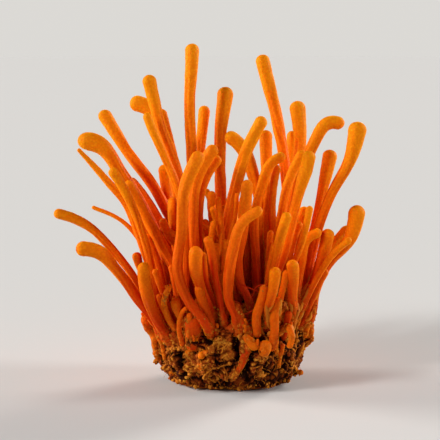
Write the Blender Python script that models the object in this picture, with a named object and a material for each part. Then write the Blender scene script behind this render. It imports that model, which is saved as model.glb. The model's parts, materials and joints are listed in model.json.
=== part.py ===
"""A bunch of cultivated cordyceps: orange clubs that grow from a crumbly block of mycelium.

Every club is a solid of its own and stands 0.3 mm clear of the block and of the other clubs. The
block was cut off flat below and rests on that cut, with the origin in the middle of it, X to the
right and Y away from the viewer.

The clubs are drawn as the bunch is seen from its front: a drawn place is (across, up), measured from
where the origin is seen. place() turns it into a point of the bunch. After that the clubs make room
for each other, mostly by giving way in depth, so that each one keeps its drawn place.
"""

import math
from collections import namedtuple

import bmesh
import bpy
import numpy as np
from mathutils import Vector, noise
from mathutils.bvhtree import BVHTree

# The tables and sums are in millimetres. MM turns them into metres where an object is made.
MM = 0.001

# The view that the clubs are drawn in
VIEW_TILT = math.radians(8.0)
VIEW_DISTANCE = 305.0
VIEW_AIM = Vector((-3.0, 0.0, 41.4))
AIM_UP = 40.25  # the drawn height of the aim over the origin
FORWARD = Vector((0.0, math.cos(VIEW_TILT), -math.sin(VIEW_TILT)))
UPWARD = Vector((0.0, math.sin(VIEW_TILT), math.cos(VIEW_TILT)))
EYE = VIEW_AIM - VIEW_DISTANCE * FORWARD

# The block of mycelium: half its width at each height, from the middle of the cut to the crown
BLOCK_OUTLINE = (
    (0.0, 0.0),
    (8.0, 0.0),
    (15.4, 0.0),
    (16.9, 1.5),
    (18.8, 5.0),
    (19.8, 9.0),
    (20.0, 13.0),
    (19.2, 16.2),
    (16.8, 18.6),
    (12.5, 20.0),
    (6.5, 20.9),
    (0.0, 21.2),
)
OUTLINE_STEP = 0.25
BLOCK_RINGS = 20
BLOCK_STEPS = 42
BLOCK_DEPTH = 0.86  # its depth as a share of its width, at its widest
CUT_DEPTH = 0.68  # the same at the cut
CUT_TAPER = 9.0  # the height over which it widens in depth
CROWN_SLOPE = 0.09  # the crown is higher to the right by this share of the distance from the middle
LUMP_SIZE = 6.0
LUMP_HEIGHT = 2.6
LUMP_MIDDLE = 0.45  # how far from a lump's middle the skin keeps its place, as a share of its size
RIB_SIZE = 3.4
RIB_HEIGHT = 1.9
RIB_STRETCH = 0.3  # heights count for this share of widths, which draws the ribs out up the block
CORE_HEIGHT = 5.0  # clubs grow away from the block's core, which is this high
CORE_SPREAD = 0.45  # how much of the way from the core to the side they follow
RIM_CALM = 3.0  # below this height the lumps die away towards the cut
LOWEST_SKIN = 0.3  # no lump hangs lower than this over the cut

# The clubs' tubes
SIDES_STEP = 2  # a curve's bevel resolution that gives 8 sides
GAP = 0.3
EXTRA_GAP = 0.02
PATH_STEP = 0.4
HEAD_LENGTH = 13.0
HEAD_SHARE = 0.45  # the most of a short club's length that its head takes
SWELL_SHARE = 0.7  # the part of a head in which it widens
FOOT_RISE = 2.2  # how far a foot goes straight out of the block
FOOT_FLARE = 1.12
FLARE_LENGTH = 3.0
BEND_COST = 13.0  # a bend takes as many rings as this many mm of straight tube, for each radian
RING_SPACING = 12.0
FEWEST_RINGS = 6
MOST_RINGS = 9
END_RINGS = 4  # the rings besides the spaces of the stem: at the foot, at the neck and two at the tip
NECK = 0.9  # where a tip starts to round off, in tip radii from its end
SHOULDER = 0.32  # the same for the ring between, and its width
SHOULDER_WIDTH = 0.8
TIP_WIDTH = 0.42
SUNK = 1.2  # how deep a bud's foot is sunk into the block

# How the clubs make room for each other
ROUNDS = 500
SOFT_FROM = 0.7  # the share of the rounds after which the clubs keep their shape less firmly
SOFT_KEEP = 0.25
LEAST_ROUNDS = 0.75  # the share of the rounds that always run
LOOK_AGAIN = 10  # rounds between two looks for tubes that come near each other
NEAR = 2.5
SAMPLE_STEP = 1.2
SIDE_EASE = 0.1  # how readily a club gives way to the side, compared with in depth
HIDDEN_EASE = 0.8  # the same where the crowd hides it
HIDDEN_BELOW = 24.0
LEAST_FACING = 0.35  # limits the push where two clubs lie side by side in the view
LEAST_SHARE = 0.6  # limits the move of a ring that few samples push
STIFFNESS = 0.16
RETURN = 0.03
SEAT_ROUNDS = 24
SEAT_PROBES = 12
SEAT_LIFT = 0.01
SEAT_SLACK = 0.002

Club = namedtuple("Club", "foot path tip_depth head stem")

# Each club: a place near its foot, its drawn path from low down to the tip, how far back its tip is,
# and the widths of its head and stem
LEFT_CLUBS = (
    # the straight one at the back
    Club((-7, 10, 21), ((-11, 32.5), (-18.5, 47), (-25.5, 56.5), (-32.5, 67.5)), 24, 3.6, 3.1),
    # the thick one with a curled head
    Club(
        (-13, 5, 19),
        ((-18, 35), (-23, 44), (-29, 54), (-33.2, 59), (-36.2, 60), (-38, 58.7)),
        9, 4.6, 3.4,
    ),
    # behind its stem
    Club((-10, 9, 19), ((-15, 34), (-21, 44.5), (-26, 50.5)), 15, 3.4, 3.1),
    # the pointed one
    Club((-18, -1, 16), ((-20, 25.5), (-22, 33), (-26.5, 44.5), (-31, 49.8), (-38.5, 58)), 0, 1.1, 2.1),
    # the slender ones in front of it
    Club((-17, -7.5, 16), ((-20, 27.5), (-22.5, 37), (-26.5, 47), (-30.2, 53)), -10, 2.5, 1.9),
    Club((-12, -4, 18), ((-15, 29.5), (-18.5, 35.7), (-22.5, 43), (-26.3, 50)), -4, 2.7, 3.0),
    # the thread-like one
    Club((-18, 4, 16), ((-20.5, 30), (-25.5, 38.3), (-30.5, 41.7), (-35, 43.5)), 9, 1.1, 1.2),
    # the two long low ones
    Club(
        (-18.3, -4.5, 15),
        ((-22.5, 22.7), (-29.7, 32.7), (-36, 38.8), (-41, 41.3), (-44.5, 42)),
        -10, 2.6, 2.1,
    ),
    Club(
        (-16.8, -9.5, 15),
        ((-21.2, 17.5), (-27, 25.5), (-31.5, 30.8), (-35, 33), (-38.8, 33)),
        -18, 3.4, 2.4,
    ),
    # the knobbly short one
    Club((-19.5, 0, 16), ((-21.5, 24), (-23.3, 28.5), (-24, 32)), 0, 2.3, 1.7),
    # the short stout one in front
    Club((-15, -12, 16), ((-18, 16.8), (-20.5, 21.5), (-22, 29.3)), -22, 2.9, 3.2),
)
CENTRE_CLUBS = (
    # a slender one, the one that it leans on, and the two that this one hides
    Club((-10, -5, 19), ((-12, 41), (-15.2, 52.5), (-19, 60.3), (-21.5, 67)), -2, 2.4, 2.1),
    Club((-8, 1, 20), ((-11.5, 38), (-14.2, 54), (-18.4, 65.7), (-21, 76.5)), 2, 3.6, 2.7),
    Club((-8, 5, 20), ((-12, 40), (-14.7, 54), (-16.8, 62.5), (-18.3, 68)), 10, 3.4, 3.1),
    Club((-6, 8, 20), ((-11, 42), (-15, 56), (-18.3, 64.5), (-21, 68.5), (-25.3, 69.5)), 16, 3.9, 2.7),
    # a pale one at the back
    Club((-5, 13, 19), ((-13.5, 37), (-16.2, 46.5), (-17.2, 54)), 20, 2.9, 2.8),
    # the tall straight one
    Club((-5, 4, 21), ((-8.5, 35), (-10, 56), (-10.7, 66), (-10, 79), (-10, 84.2)), 10, 3.4, 3.0),
    # the two upright ones behind
    Club((-4, 10, 20), ((-8.5, 42), (-7.7, 60), (-6.8, 68.8)), 18, 3.1, 2.6),
    Club((0, 8, 21), ((-2.3, 38), (-3.1, 58), (-2.2, 66.5), (-1.4, 73.5)), 16, 4.0, 3.0),
    # the two that lean towards each other
    Club((4, 3, 21), ((8, 33), (7, 43.5), (5, 52.5), (1.5, 59.7), (-1.8, 61.3)), 6, 3.7, 3.0),
    Club((-2, -6, 20), ((-2.5, 30), (-1, 41), (1.8, 52), (4.6, 60), (8, 66)), -9, 3.2, 2.8),
    # small ones deep in the middle
    Club((-3, -4, 21), ((-2.5, 26), (-2.5, 35), (-5, 43.5)), -6, 1.5, 1.6),
    Club((-4, 1, 21), ((-4, 28), (-3.5, 38.5), (-5, 44.5), (-6.7, 48)), 4, 1.6, 1.8),
    Club((-8, -2, 20), ((-10.5, 27), (-12.5, 34.7), (-15.5, 36.8), (-18, 38)), 1, 2.2, 2.3),
    Club((-11, 3, 19), ((-13.5, 31), (-15, 40), (-14.7, 45.8)), 6, 2.5, 2.2),
)
FRONT_CLUBS = (
    # the tall bent one, and the pair beside it
    Club(
        (-7, -14.5, 18),
        ((-12, 20.5), (-14, 27), (-12.7, 38), (-12, 47), (-11, 51.5), (-7.8, 57)),
        -21, 3.1, 2.8,
    ),
    Club((-7, -11, 20), ((-8.3, 25), (-9.5, 36.5), (-9.5, 47), (-7.5, 54), (-4, 58.7)), -16, 2.8, 2.7),
    Club((-5, -8, 20.5), ((-7.3, 26.5), (-8.5, 37), (-7.5, 48), (-5.7, 53), (-3, 56)), -12, 2.5, 2.4),
    # the short ones before them
    Club((-5, -14, 19), ((-7.7, 23), (-9.2, 29.5), (-8.8, 33.5)), -24, 3.1, 2.8),
    Club((-3.7, -11.5, 20), ((-5.7, 22), (-6.5, 28), (-7.2, 32)), -20, 1.8, 1.7),
    Club((-2.3, -13.7, 19), ((-3.8, 22), (-4.5, 27.5), (-6.2, 36)), -18, 2.2, 1.9),
    # the big arched one
    Club((1.2, -15, 18), ((-0.8, 20), (-0.8, 26.5), (1, 36), (3.4, 40.7), (7.5, 43)), -24, 2.5, 2.9),
    # the broad one behind the arch
    Club((4, -10, 20), ((1.5, 26.5), (2.8, 38), (3.5, 44), (3.8, 50.3)), -14, 3.0, 2.7),
)
RIGHT_CLUBS = (
    # the tall leaning one at the back, and the pale ones beside it
    Club((5, 9, 21), ((12, 35), (13.8, 46), (12, 62), (10, 70), (7.3, 81.5)), 22, 3.6, 3.1),
    Club((2, 12, 20), ((8, 38), (8.7, 52), (8.2, 58), (8.6, 62.7)), 24, 3.2, 2.9),
    Club((8, 12, 20), ((12.5, 42), (14.5, 55), (15, 62.5)), 26, 2.8, 2.6),
    Club((9, 6, 21), ((13, 34), (15.3, 47), (17, 60), (16.2, 70)), 15, 4.0, 3.0),
    # the hooked one
    Club((12, 3, 20), ((14.5, 37), (17.5, 51.5), (21, 60.5), (24.3, 64.7), (28, 64)), 6, 3.5, 3.0),
    # a slender one and a hooked one in the crowd
    Club((9, -1, 21), ((10, 29.5), (10.3, 40), (10, 49), (11.5, 54)), 2, 2.1, 1.9),
    Club((6, -2, 21), ((6, 30), (5.5, 39), (7.5, 49), (10, 54.8), (13.3, 56.3)), -1, 2.7, 2.5),
    # the two that cross them
    Club((10, -5, 20), ((11, 32.5), (13, 44.5), (15.2, 53), (18, 57.5)), -4, 2.6, 2.4),
    Club((10.5, -9, 18), ((10.5, 21), (13, 31.5), (16.5, 46.5), (18.8, 53), (19.3, 57.5)), -10, 3.5, 2.6),
    # the right-most tall ones
    Club((15, 4, 19), ((17.5, 26.5), (20, 36.5), (22.8, 48.5), (24.7, 57.8)), 10, 3.5, 2.4),
    Club((17, 1, 18), ((18.5, 25), (21.5, 38), (25.8, 49), (30.2, 57), (31.6, 64.8)), 2, 4.5, 2.6),
    # the thick-headed low one, and the thin one before it
    Club((18, -4, 16), ((20, 20), (22.5, 27.5), (28.5, 34.3), (30.7, 38.5), (31.3, 44)), -1, 4.4, 2.8),
    Club((16, -8.5, 18), ((18.3, 21.3), (22, 27.5), (26.5, 33.5), (29.7, 35.5)), -12, 1.7, 1.8),
    # the short ones that stand close
    Club((15, -5, 18), ((18.5, 21), (20.8, 26.5), (23.3, 33), (24, 38)), -7, 3.5, 2.6),
    Club((13.5, -7, 18), ((16.5, 24), (18.2, 32), (19.3, 36), (22.3, 37.3)), -9, 2.4, 2.2),
    Club((12, -10.5, 19), ((12, 21.3), (15, 28), (18.2, 37), (19.5, 43.8)), -14, 1.9, 1.7),
    Club((7.5, -12, 19.5), ((9.3, 22.5), (11, 30.5), (12, 36), (14, 42)), -18, 2.6, 2.4),
    Club((8.8, -14.5, 17.5), ((9.6, 19), (10.6, 24), (11, 28.5)), -22, 2.9, 2.6),
    Club((13.8, -12.3, 17), ((14.6, 18.7), (15, 25), (15, 29.7)), -21, 2.8, 2.7),
)

# The side that is hidden in the view: clubs whose feet follow the back of the crown
BACK_CLUBS = 7
BACK_FOOT_WIDTH = 16.5
BACK_FOOT_DEPTH = 14.5
BACK_FOOT_HEIGHT = 18.0
BACK_HEIGHT = 19.0
BACK_LEAN = 14.0
BACK_VARIETY = 0.3  # heights and leans differ by this share, in two slow waves from club to club
BACK_HEIGHT_WAVE = 2.3
BACK_LEAN_WAVE = 1.7
BACK_BEND_OUT = 0.45  # where a club bends: this share of its lean and this share of its height
BACK_BEND_UP = 0.5
BACK_FIRST_ANGLE = 28.0
BACK_ANGLE_STEP = 20.5
BACK_HEAD = 3.3
BACK_STEM = 2.8

# What grew on the block and stays part of it: a sunk place, a drawn path and widths, as for a club
BUDS = (
    # the big red bud and the round one beside it
    Club((-10, -14.5, 13), ((-10, 14), (-10.6, 17.6)), -15.5, 4.6, 5.4),
    Club((-12.3, -13, 17), ((-13.6, 18), (-14.4, 20.8)), -14, 3.0, 2.0),
    # a thin curved one and two at the right
    Club((-14.5, -12.5, 15), ((-16, 16), (-17, 20), (-15.4, 24)), -15.5, 1.4, 1.6),
    Club((10.5, -15, 12), ((10.9, 14), (11.4, 17.5), (12, 20.7)), -17, 1.7, 1.8),
    Club((6.3, -15, 16), ((6.2, 16.5), (7.4, 20.3), (8.2, 24)), -16.5, 2.1, 2.1),
    # a stub bent down on the front of the block
    Club((13.4, -13.5, 15), ((14.6, 13), (15.2, 10.3)), -16, 2.2, 2.0),
    # the nub that sticks out at the top left
    Club((-19, -2, 13), ((-21, 15), (-22.4, 16.8)), -2, 2.6, 2.6),
)
# Round nodules: a drawn place, the depth of those seen edge on, and a width
NODULES = (
    (8.3, 8.3, -17.0, 4.2),
    (5.7, 9.0, -17.0, 3.0),
    (-9.0, 8.9, -16.0, 2.4),
    (-6.4, 6.6, -16.0, 2.0),
    (-8.2, 5.6, -16.0, 2.3),
    (-7.2, 4.0, -16.2, 2.8),
    (-20.3, 12.7, -2.0, 3.0),
    (-19.8, 10.0, -3.0, 2.8),
    (-19.3, 7.2, -3.5, 3.0),
    (-18.9, 4.8, -3.0, 2.6),
    (18.2, 1.6, -3.0, 2.6),
    (19.8, 10.4, -1.0, 2.8),
)

ORANGE = (0.80, 0.22, 0.02, 1.0)
DEEP_ORANGE = (0.62, 0.12, 0.01, 1.0)
PALE_ORANGE = (0.95, 0.38, 0.05, 1.0)
OCHRE = (0.35, 0.17, 0.05, 1.0)
FLESH_ROUGHNESS = 0.6
CRUMB_ROUGHNESS = 0.95


def place(across, up, depth):
    """The point at a depth behind the middle of the block that is seen at a drawn place."""
    drawn = VIEW_AIM + Vector((across - VIEW_AIM.x, 0.0, 0.0)) + (up - AIM_UP) * UPWARD
    reach = (depth - EYE.y) / (drawn.y - EYE.y)
    return EYE + (drawn - EYE) * reach


def smooth_path(points, step):
    """Points about a step apart along a smooth curve through the given points."""
    ends = [2 * points[0] - points[1], *points, 2 * points[-1] - points[-2]]
    path = []
    for before, start, end, after in zip(ends, ends[1:], ends[2:], ends[3:]):
        count = max(1, round((end - start).length / step))
        for index in range(count):
            t = index / count
            pull_in = (end - before) * 0.5
            pull_out = (after - start) * 0.5
            rise = 3 * (end - start) - 2 * pull_in - pull_out
            turn = 2 * (start - end) + pull_in + pull_out
            path.append(start + (pull_in + (rise + turn * t) * t) * t)
    return [*path, points[-1]]


def smoothstep(value):
    """A smooth rise from 0 to 1 while the value goes from 0 to 1."""
    value = min(1.0, max(0.0, value))
    return value * value * (3 - 2 * value)


def lumps(point):
    """How far the block's skin stands out at a point."""
    cells = noise.voronoi(point / LUMP_SIZE)[0]
    upright = Vector((point.x, point.y, RIB_STRETCH * point.z)) / RIB_SIZE
    return LUMP_HEIGHT * (LUMP_MIDDLE - cells[0]) + RIB_HEIGHT * noise.noise(upright)


def block_mesh():
    """The block as a turned form that is flattened, sloped and made lumpy, in millimetres."""
    outline = [Vector((width, 0.0, height)) for width, height in BLOCK_OUTLINE]
    fine = smooth_path(outline, OUTLINE_STEP)
    profile = [fine[round(i * (len(fine) - 1) / BLOCK_RINGS)] for i in range(BLOCK_RINGS + 1)]
    mesh = bmesh.new()
    verts = [mesh.verts.new((max(0.0, p.x), 0.0, max(0.0, p.z))) for p in profile]
    edges = [mesh.edges.new(pair) for pair in zip(verts, verts[1:])]
    bmesh.ops.spin(
        mesh,
        geom=verts + edges,
        cent=(0, 0, 0),
        axis=(0, 0, 1),
        angle=math.tau,
        steps=BLOCK_STEPS,
        use_merge=True,
    )
    bmesh.ops.remove_doubles(mesh, verts=mesh.verts, dist=0.0001)
    bmesh.ops.recalc_face_normals(mesh, faces=mesh.faces)
    for vert in mesh.verts:
        vert.co.y *= CUT_DEPTH + (BLOCK_DEPTH - CUT_DEPTH) * smoothstep(vert.co.z / CUT_TAPER)
        vert.co.z *= 1 + CROWN_SLOPE * vert.co.x / BLOCK_OUTLINE[-1][1]
    mesh.normal_update()
    moved = []
    for vert in mesh.verts:
        calm = smoothstep(vert.co.z / RIM_CALM)
        moved.append(vert.co + vert.normal * (lumps(vert.co) * calm))
    for vert, spot in zip(mesh.verts, moved):
        flat = vert.co.z < 0.001
        vert.co = (spot.x, spot.y, 0.0 if flat else max(LOWEST_SKIN, spot.z))
    bmesh.ops.triangulate(mesh, faces=mesh.faces)
    return mesh


def outward(spot):
    """The way out of the block at a spot of its skin, without its lumps."""
    side = CORE_SPREAD * spot.xy
    return Vector((side.x, side.y, spot.z - CORE_HEIGHT)).normalized()


def control_points(club, tree, start):
    """The points that a club's centreline goes through, from its foot on the block to its tip."""
    spot, normal, _, _ = tree.find_nearest(Vector(club.foot))
    first = spot + normal * start
    across, up = club.path[0]
    low = place(across, up, first.y)
    out = (outward(spot) + (low - first).normalized()).normalized()
    drawn = [place(across, up, 0.0) for across, up in club.path]
    steps = [(b - a).length for a, b in zip([low, *drawn[1:]], drawn[1:])]
    lengths = [(low - first).length]
    for step in steps:
        lengths.append(lengths[-1] + step)
    points = [first, first + out * FOOT_RISE]
    for (across, up), length in zip(club.path, lengths):
        depth = first.y + (club.tip_depth - first.y) * length / lengths[-1]
        points.append(place(across, up, depth))
    return points


def back_points(number, tree, start):
    """The same for a club of the hidden side, by its number from right to left."""
    angle = math.radians(BACK_FIRST_ANGLE + BACK_ANGLE_STEP * number)
    away = Vector((math.cos(angle), math.sin(angle), 0.0))
    foot = Vector((BACK_FOOT_WIDTH * away.x, BACK_FOOT_DEPTH * away.y, BACK_FOOT_HEIGHT))
    spot, normal, _, _ = tree.find_nearest(foot)
    first = spot + normal * start
    height = BACK_HEIGHT * (1.0 + BACK_VARIETY * math.sin(BACK_HEIGHT_WAVE * number))
    lean = BACK_LEAN * (1.0 + BACK_VARIETY * math.cos(BACK_LEAN_WAVE * number))
    bend = first + away * lean * BACK_BEND_OUT + Vector((0, 0, height * BACK_BEND_UP))
    tip = first + away * lean + Vector((0, 0, height))
    return [first, first + outward(spot) * FOOT_RISE, bend, tip]


def width_at(along, length, head, stem):
    """A club's radius at a length along it, before its tip is rounded."""
    reach = min(HEAD_LENGTH, HEAD_SHARE * length)
    swell = smoothstep((along - (length - reach)) / (SWELL_SHARE * reach))
    flare = (FOOT_FLARE - 1) * (1 - smoothstep(along / FLARE_LENGTH))
    return 0.5 * (stem + (head - stem) * swell) * (1 + flare)


def rings_of(points, head, stem):
    """The rings that a club's tube goes through: their middles and radii, closer where it bends."""
    fine = smooth_path(points, PATH_STEP)
    gaps = [0.0, *((b - a).length for a, b in zip(fine, fine[1:]))]
    along = np.cumsum(gaps)
    length = along[-1]
    ways = [(b - a).normalized() for a, b in zip(fine, fine[1:])]
    bends = [0.0, 0.0, *(a.angle(b, 0.0) for a, b in zip(ways, ways[1:]))]
    effort = along + BEND_COST * np.cumsum(bends)
    tip_radius = 0.5 * head
    neck = np.interp(length - NECK * tip_radius, along, effort)
    foot_end = np.interp(FOOT_RISE, along, effort)
    count = round((neck - foot_end) / RING_SPACING)
    count = min(MOST_RINGS, max(FEWEST_RINGS, count + END_RINGS)) - END_RINGS
    marks = np.linspace(foot_end, neck, count + 1)
    stations = [0.0, *np.interp(marks, effort, along)]
    stations += [length - SHOULDER * tip_radius, length]
    radii = [width_at(station, length, head, stem) for station in stations]
    radii[-2] *= SHOULDER_WIDTH
    radii[-1] *= TIP_WIDTH
    places = np.array([tuple(point) for point in fine])
    middles = np.column_stack([np.interp(stations, along, places[:, i]) for i in range(3)])
    return middles, np.array(radii)


def sample_weights(middles):
    """The share of each ring in each of the samples that stand for a tube."""
    rows = []
    for ring in range(len(middles) - 1):
        gap = np.linalg.norm(middles[ring + 1] - middles[ring])
        count = max(1, math.ceil(gap / SAMPLE_STEP))
        for index in range(count):
            row = np.zeros(len(middles))
            row[ring] = 1 - index / count
            row[ring + 1] = index / count
            rows.append(row)
    rows.append(np.eye(len(middles))[-1])
    return np.array(rows)


def block_push(spot, reach, tree):
    """How to move a point so that it is a reach clear of the block, or None."""
    near, normal, _, distance = tree.find_nearest(Vector(spot))
    away = Vector(spot) - near
    inside = away.dot(normal) < 0
    if inside:
        return normal * (reach + distance)
    if distance < reach:
        return away.normalized() * (reach - distance)
    return None


class Crowd:
    """All the tubes, their samples, and the moves that keep them apart."""

    def __init__(self, tubes, fixed, tree):
        self.tree = tree
        self.starts = np.cumsum([0, *(len(middles) for middles, _ in tubes)])
        self.middles = np.concatenate([middles for middles, _ in tubes])
        self.drawn = self.middles.copy()
        radii = np.concatenate([radii for _, radii in tubes])
        blocks = [sample_weights(middles) for middles, _ in tubes]
        self.weights = np.zeros((sum(len(block) for block in blocks), len(self.middles)))
        self.owner = np.concatenate([np.full(len(b), i) for i, b in enumerate(blocks)])
        row = 0
        for start, block in zip(self.starts, blocks):
            self.weights[row : row + len(block), start : start + block.shape[1]] = block
            row += len(block)
        self.radii = self.weights @ radii
        self.feet = self.starts[:-1]
        self.still = np.isin(self.owner, fixed)
        self.still_rings = np.concatenate(
            [np.full(len(middles), i in fixed) for i, (middles, _) in enumerate(tubes)]
        )
        self.foot_share = self.weights[:, self.feet].max(1)
        self.inner = np.ones(len(self.middles), bool)
        self.inner[self.feet] = False
        self.inner[self.starts[1:] - 1] = False

    def samples(self):
        return self.weights @ self.middles

    def find_near(self):
        """Note the pairs of samples of different tubes that could soon be too close."""
        spots = self.samples()
        square = (spots**2).sum(1)
        distance = square[:, None] + square[None, :] - 2 * spots @ spots.T
        room = self.radii[:, None] + self.radii[None, :] + NEAR
        near = (distance < room**2) & (self.owner[:, None] < self.owner[None, :])
        self.near = np.nonzero(near)
        low = np.nonzero(~self.still & (self.foot_share < 0.5))[0]
        self.by_block = [
            index
            for index in low
            if spots[index, 2] < HIDDEN_BELOW + NEAR
            and self.tree.find_nearest(Vector(spots[index]))[3] < self.radii[index] + NEAR
        ]

    def clashes(self):
        """The noted pairs that are too close now, and how much room they need."""
        spots = self.samples()
        first, second = self.near
        room = self.radii[first] + self.radii[second] + GAP + EXTRA_GAP
        close = ((spots[first] - spots[second]) ** 2).sum(1) < room**2
        return spots, first[close], second[close], room[close]

    def part(self):
        """One round: pushes between the tubes, spread over their rings. Returns the worst overlap."""
        spots, first, second, room = self.clashes()
        push = np.zeros_like(spots)
        count = np.zeros(len(spots))
        worst = 0.0
        if len(first):
            between = spots[first] - spots[second]
            distance = np.linalg.norm(between, axis=1) + 1e-9
            worst = float((room - distance).max())
            low = (spots[first, 2] + spots[second, 2]) / 2 < HIDDEN_BELOW
            ease = np.where(low, HIDDEN_EASE, SIDE_EASE)
            inward = between @ FORWARD
            way = between * ease[:, None] + np.outer(inward * (1 - ease), FORWARD)
            way /= np.linalg.norm(way, axis=1)[:, None] + 1e-9
            facing = np.clip((way * between).sum(1) / distance, LEAST_FACING, 1.0)
            move = way * ((room - distance) / facing)[:, None]
            share = np.where(self.still[second], 1.0, 0.5)[:, None]
            np.add.at(push, first, move * share)
            share = np.where(self.still[first], 1.0, 0.5)[:, None]
            np.add.at(push, second, -move * share)
            np.add.at(count, first, 1)
            np.add.at(count, second, 1)
        push /= np.maximum(1.0, count)[:, None]
        for index in self.by_block:
            move = block_push(spots[index], self.radii[index] + GAP, self.tree)
            if move is not None:
                push[index] += move
                count[index] += 1
        active = (count > 0).astype(float)
        total = self.weights.T @ active
        moves = (self.weights.T @ push) / np.maximum(LEAST_SHARE, total)[:, None]
        moves[self.still_rings] = 0.0
        self.middles += moves
        return worst

    def settle(self, keep):
        """Keep each club smooth and near its drawn place, and its foot on the block."""
        shift = self.middles - self.drawn
        inner = np.nonzero(self.inner)[0]
        even = (shift[inner - 1] + shift[inner + 1]) / 2 - shift[inner]
        shift[inner] += STIFFNESS * keep * even
        back = RETURN * keep
        shift = shift * (1 - back) + np.outer(shift @ FORWARD * back, FORWARD)
        shift[self.still_rings] = 0.0
        self.middles = self.drawn + shift
        for foot in self.feet:
            if self.still_rings[foot]:
                continue
            spot, normal, _, _ = self.tree.find_nearest(Vector(self.middles[foot]))
            self.middles[foot] = spot + normal * GAP

    def run(self):
        """Push and settle the clubs until none of them are too close."""
        for number in range(ROUNDS):
            if number % LOOK_AGAIN == 0:
                self.find_near()
            keep = 1.0 if number < SOFT_FROM * ROUNDS else SOFT_KEEP
            worst = self.part()
            self.settle(keep)
            if worst < EXTRA_GAP and number > LEAST_ROUNDS * ROUNDS:
                break


def seat_foot(middles, radii, tree):
    """Lift a club's foot along its stem until its end face is the gap clear of the block."""
    seated = middles.copy()
    for _ in range(SEAT_ROUNDS):
        way = Vector(seated[1] - seated[0]).normalized()
        side = way.orthogonal().normalized()
        shortest = GAP
        for reach in (0.0, 0.5 * radii[0], radii[0]):
            for index in range(SEAT_PROBES):
                angle = math.tau * index / SEAT_PROBES
                around = side * math.cos(angle) + way.cross(side) * math.sin(angle)
                spot = Vector(seated[0]) + around * reach
                near, normal, _, distance = tree.find_nearest(spot)
                signed = distance if (spot - near).dot(normal) >= 0 else -distance
                shortest = min(shortest, signed)
        if shortest >= GAP - SEAT_SLACK:
            break
        seated[0] += np.array(way) * (GAP - shortest + SEAT_LIFT)
    return seated


def material(name, colour, roughness):
    """A plain Principled material."""
    made = bpy.data.materials.new(name)
    made.use_nodes = True
    shader = made.node_tree.nodes["Principled BSDF"]
    shader.inputs["Base Color"].default_value = colour
    shader.inputs["Roughness"].default_value = roughness
    shader.inputs["Metallic"].default_value = 0.0
    made.diffuse_color = colour
    return made


def tube(name, middles, radii, collection, paint):
    """A round tube with closed ends through rings with their own radii."""
    curve = bpy.data.curves.new(name, "CURVE")
    curve.dimensions = "3D"
    curve.bevel_depth = MM
    curve.bevel_resolution = SIDES_STEP
    curve.use_fill_caps = True
    spline = curve.splines.new("POLY")
    spline.points.add(len(middles) - 1)
    for point, middle, radius in zip(spline.points, middles, radii):
        point.co = (*(float(value) * MM for value in middle), 1.0)
        point.radius = float(radius)
    curve.materials.append(paint)
    made = bpy.data.objects.new(name, curve)
    collection.objects.link(made)
    return made


def as_mesh(source, collection):
    """A curve object as a closed mesh object of the same name, in its place."""
    bpy.context.view_layer.update()
    seen = source.evaluated_get(bpy.context.evaluated_depsgraph_get())
    mesh = bpy.data.meshes.new_from_object(seen)
    name = source.name
    matrix = source.matrix_world.copy()
    bpy.data.objects.remove(source)
    form = bmesh.new()
    form.from_mesh(mesh)
    bmesh.ops.remove_doubles(form, verts=form.verts, dist=0.00001)
    bmesh.ops.recalc_face_normals(form, faces=form.faces)
    form.to_mesh(mesh)
    form.free()
    made = bpy.data.objects.new(name, mesh)
    made.matrix_world = matrix
    collection.objects.link(made)
    return made


def nodule(name, drawn, tree, collection, paint):
    """A round nodule, half sunk in the block where it is drawn."""
    across, up, depth, width = drawn
    spot = tree.ray_cast(EYE, place(across, up, depth) - EYE)[0]
    if spot is None:
        spot = tree.find_nearest(place(across, up, depth))[0]
    form = bmesh.new()
    bmesh.ops.create_icosphere(form, subdivisions=2, radius=0.5 * width * MM)
    mesh = bpy.data.meshes.new(name)
    form.to_mesh(mesh)
    form.free()
    mesh.materials.append(paint)
    made = bpy.data.objects.new(name, mesh)
    made.location = spot * MM
    collection.objects.link(made)
    return made


def fuse(block, growth):
    """Add a growth to the block."""
    growth.display_type = "WIRE"
    growth.hide_render = True
    join = block.modifiers.new(growth.name, "BOOLEAN")
    join.operation = "UNION"
    join.solver = "EXACT"
    join.object = growth


def new_collection(name):
    made = bpy.data.collections.new(name)
    bpy.context.scene.collection.children.link(made)
    return made


def make_base(form, tree, bud_tubes, parts, growths, paint):
    """The block with its buds and nodules as one solid."""
    mesh = bpy.data.meshes.new("mycelium_base")
    for vert in form.verts:
        vert.co *= MM
    form.to_mesh(mesh)
    form.free()
    mesh.materials.append(paint)
    block = bpy.data.objects.new("mycelium_base", mesh)
    parts.objects.link(block)
    for number, (middles, radii) in enumerate(bud_tubes, 1):
        bud = tube(f"bud_{number}", middles, radii, growths, paint)
        fuse(block, as_mesh(bud, growths))
    for number, drawn in enumerate(NODULES, 1):
        fuse(block, nodule(f"nodule_{number}", drawn, tree, growths, paint))


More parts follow.
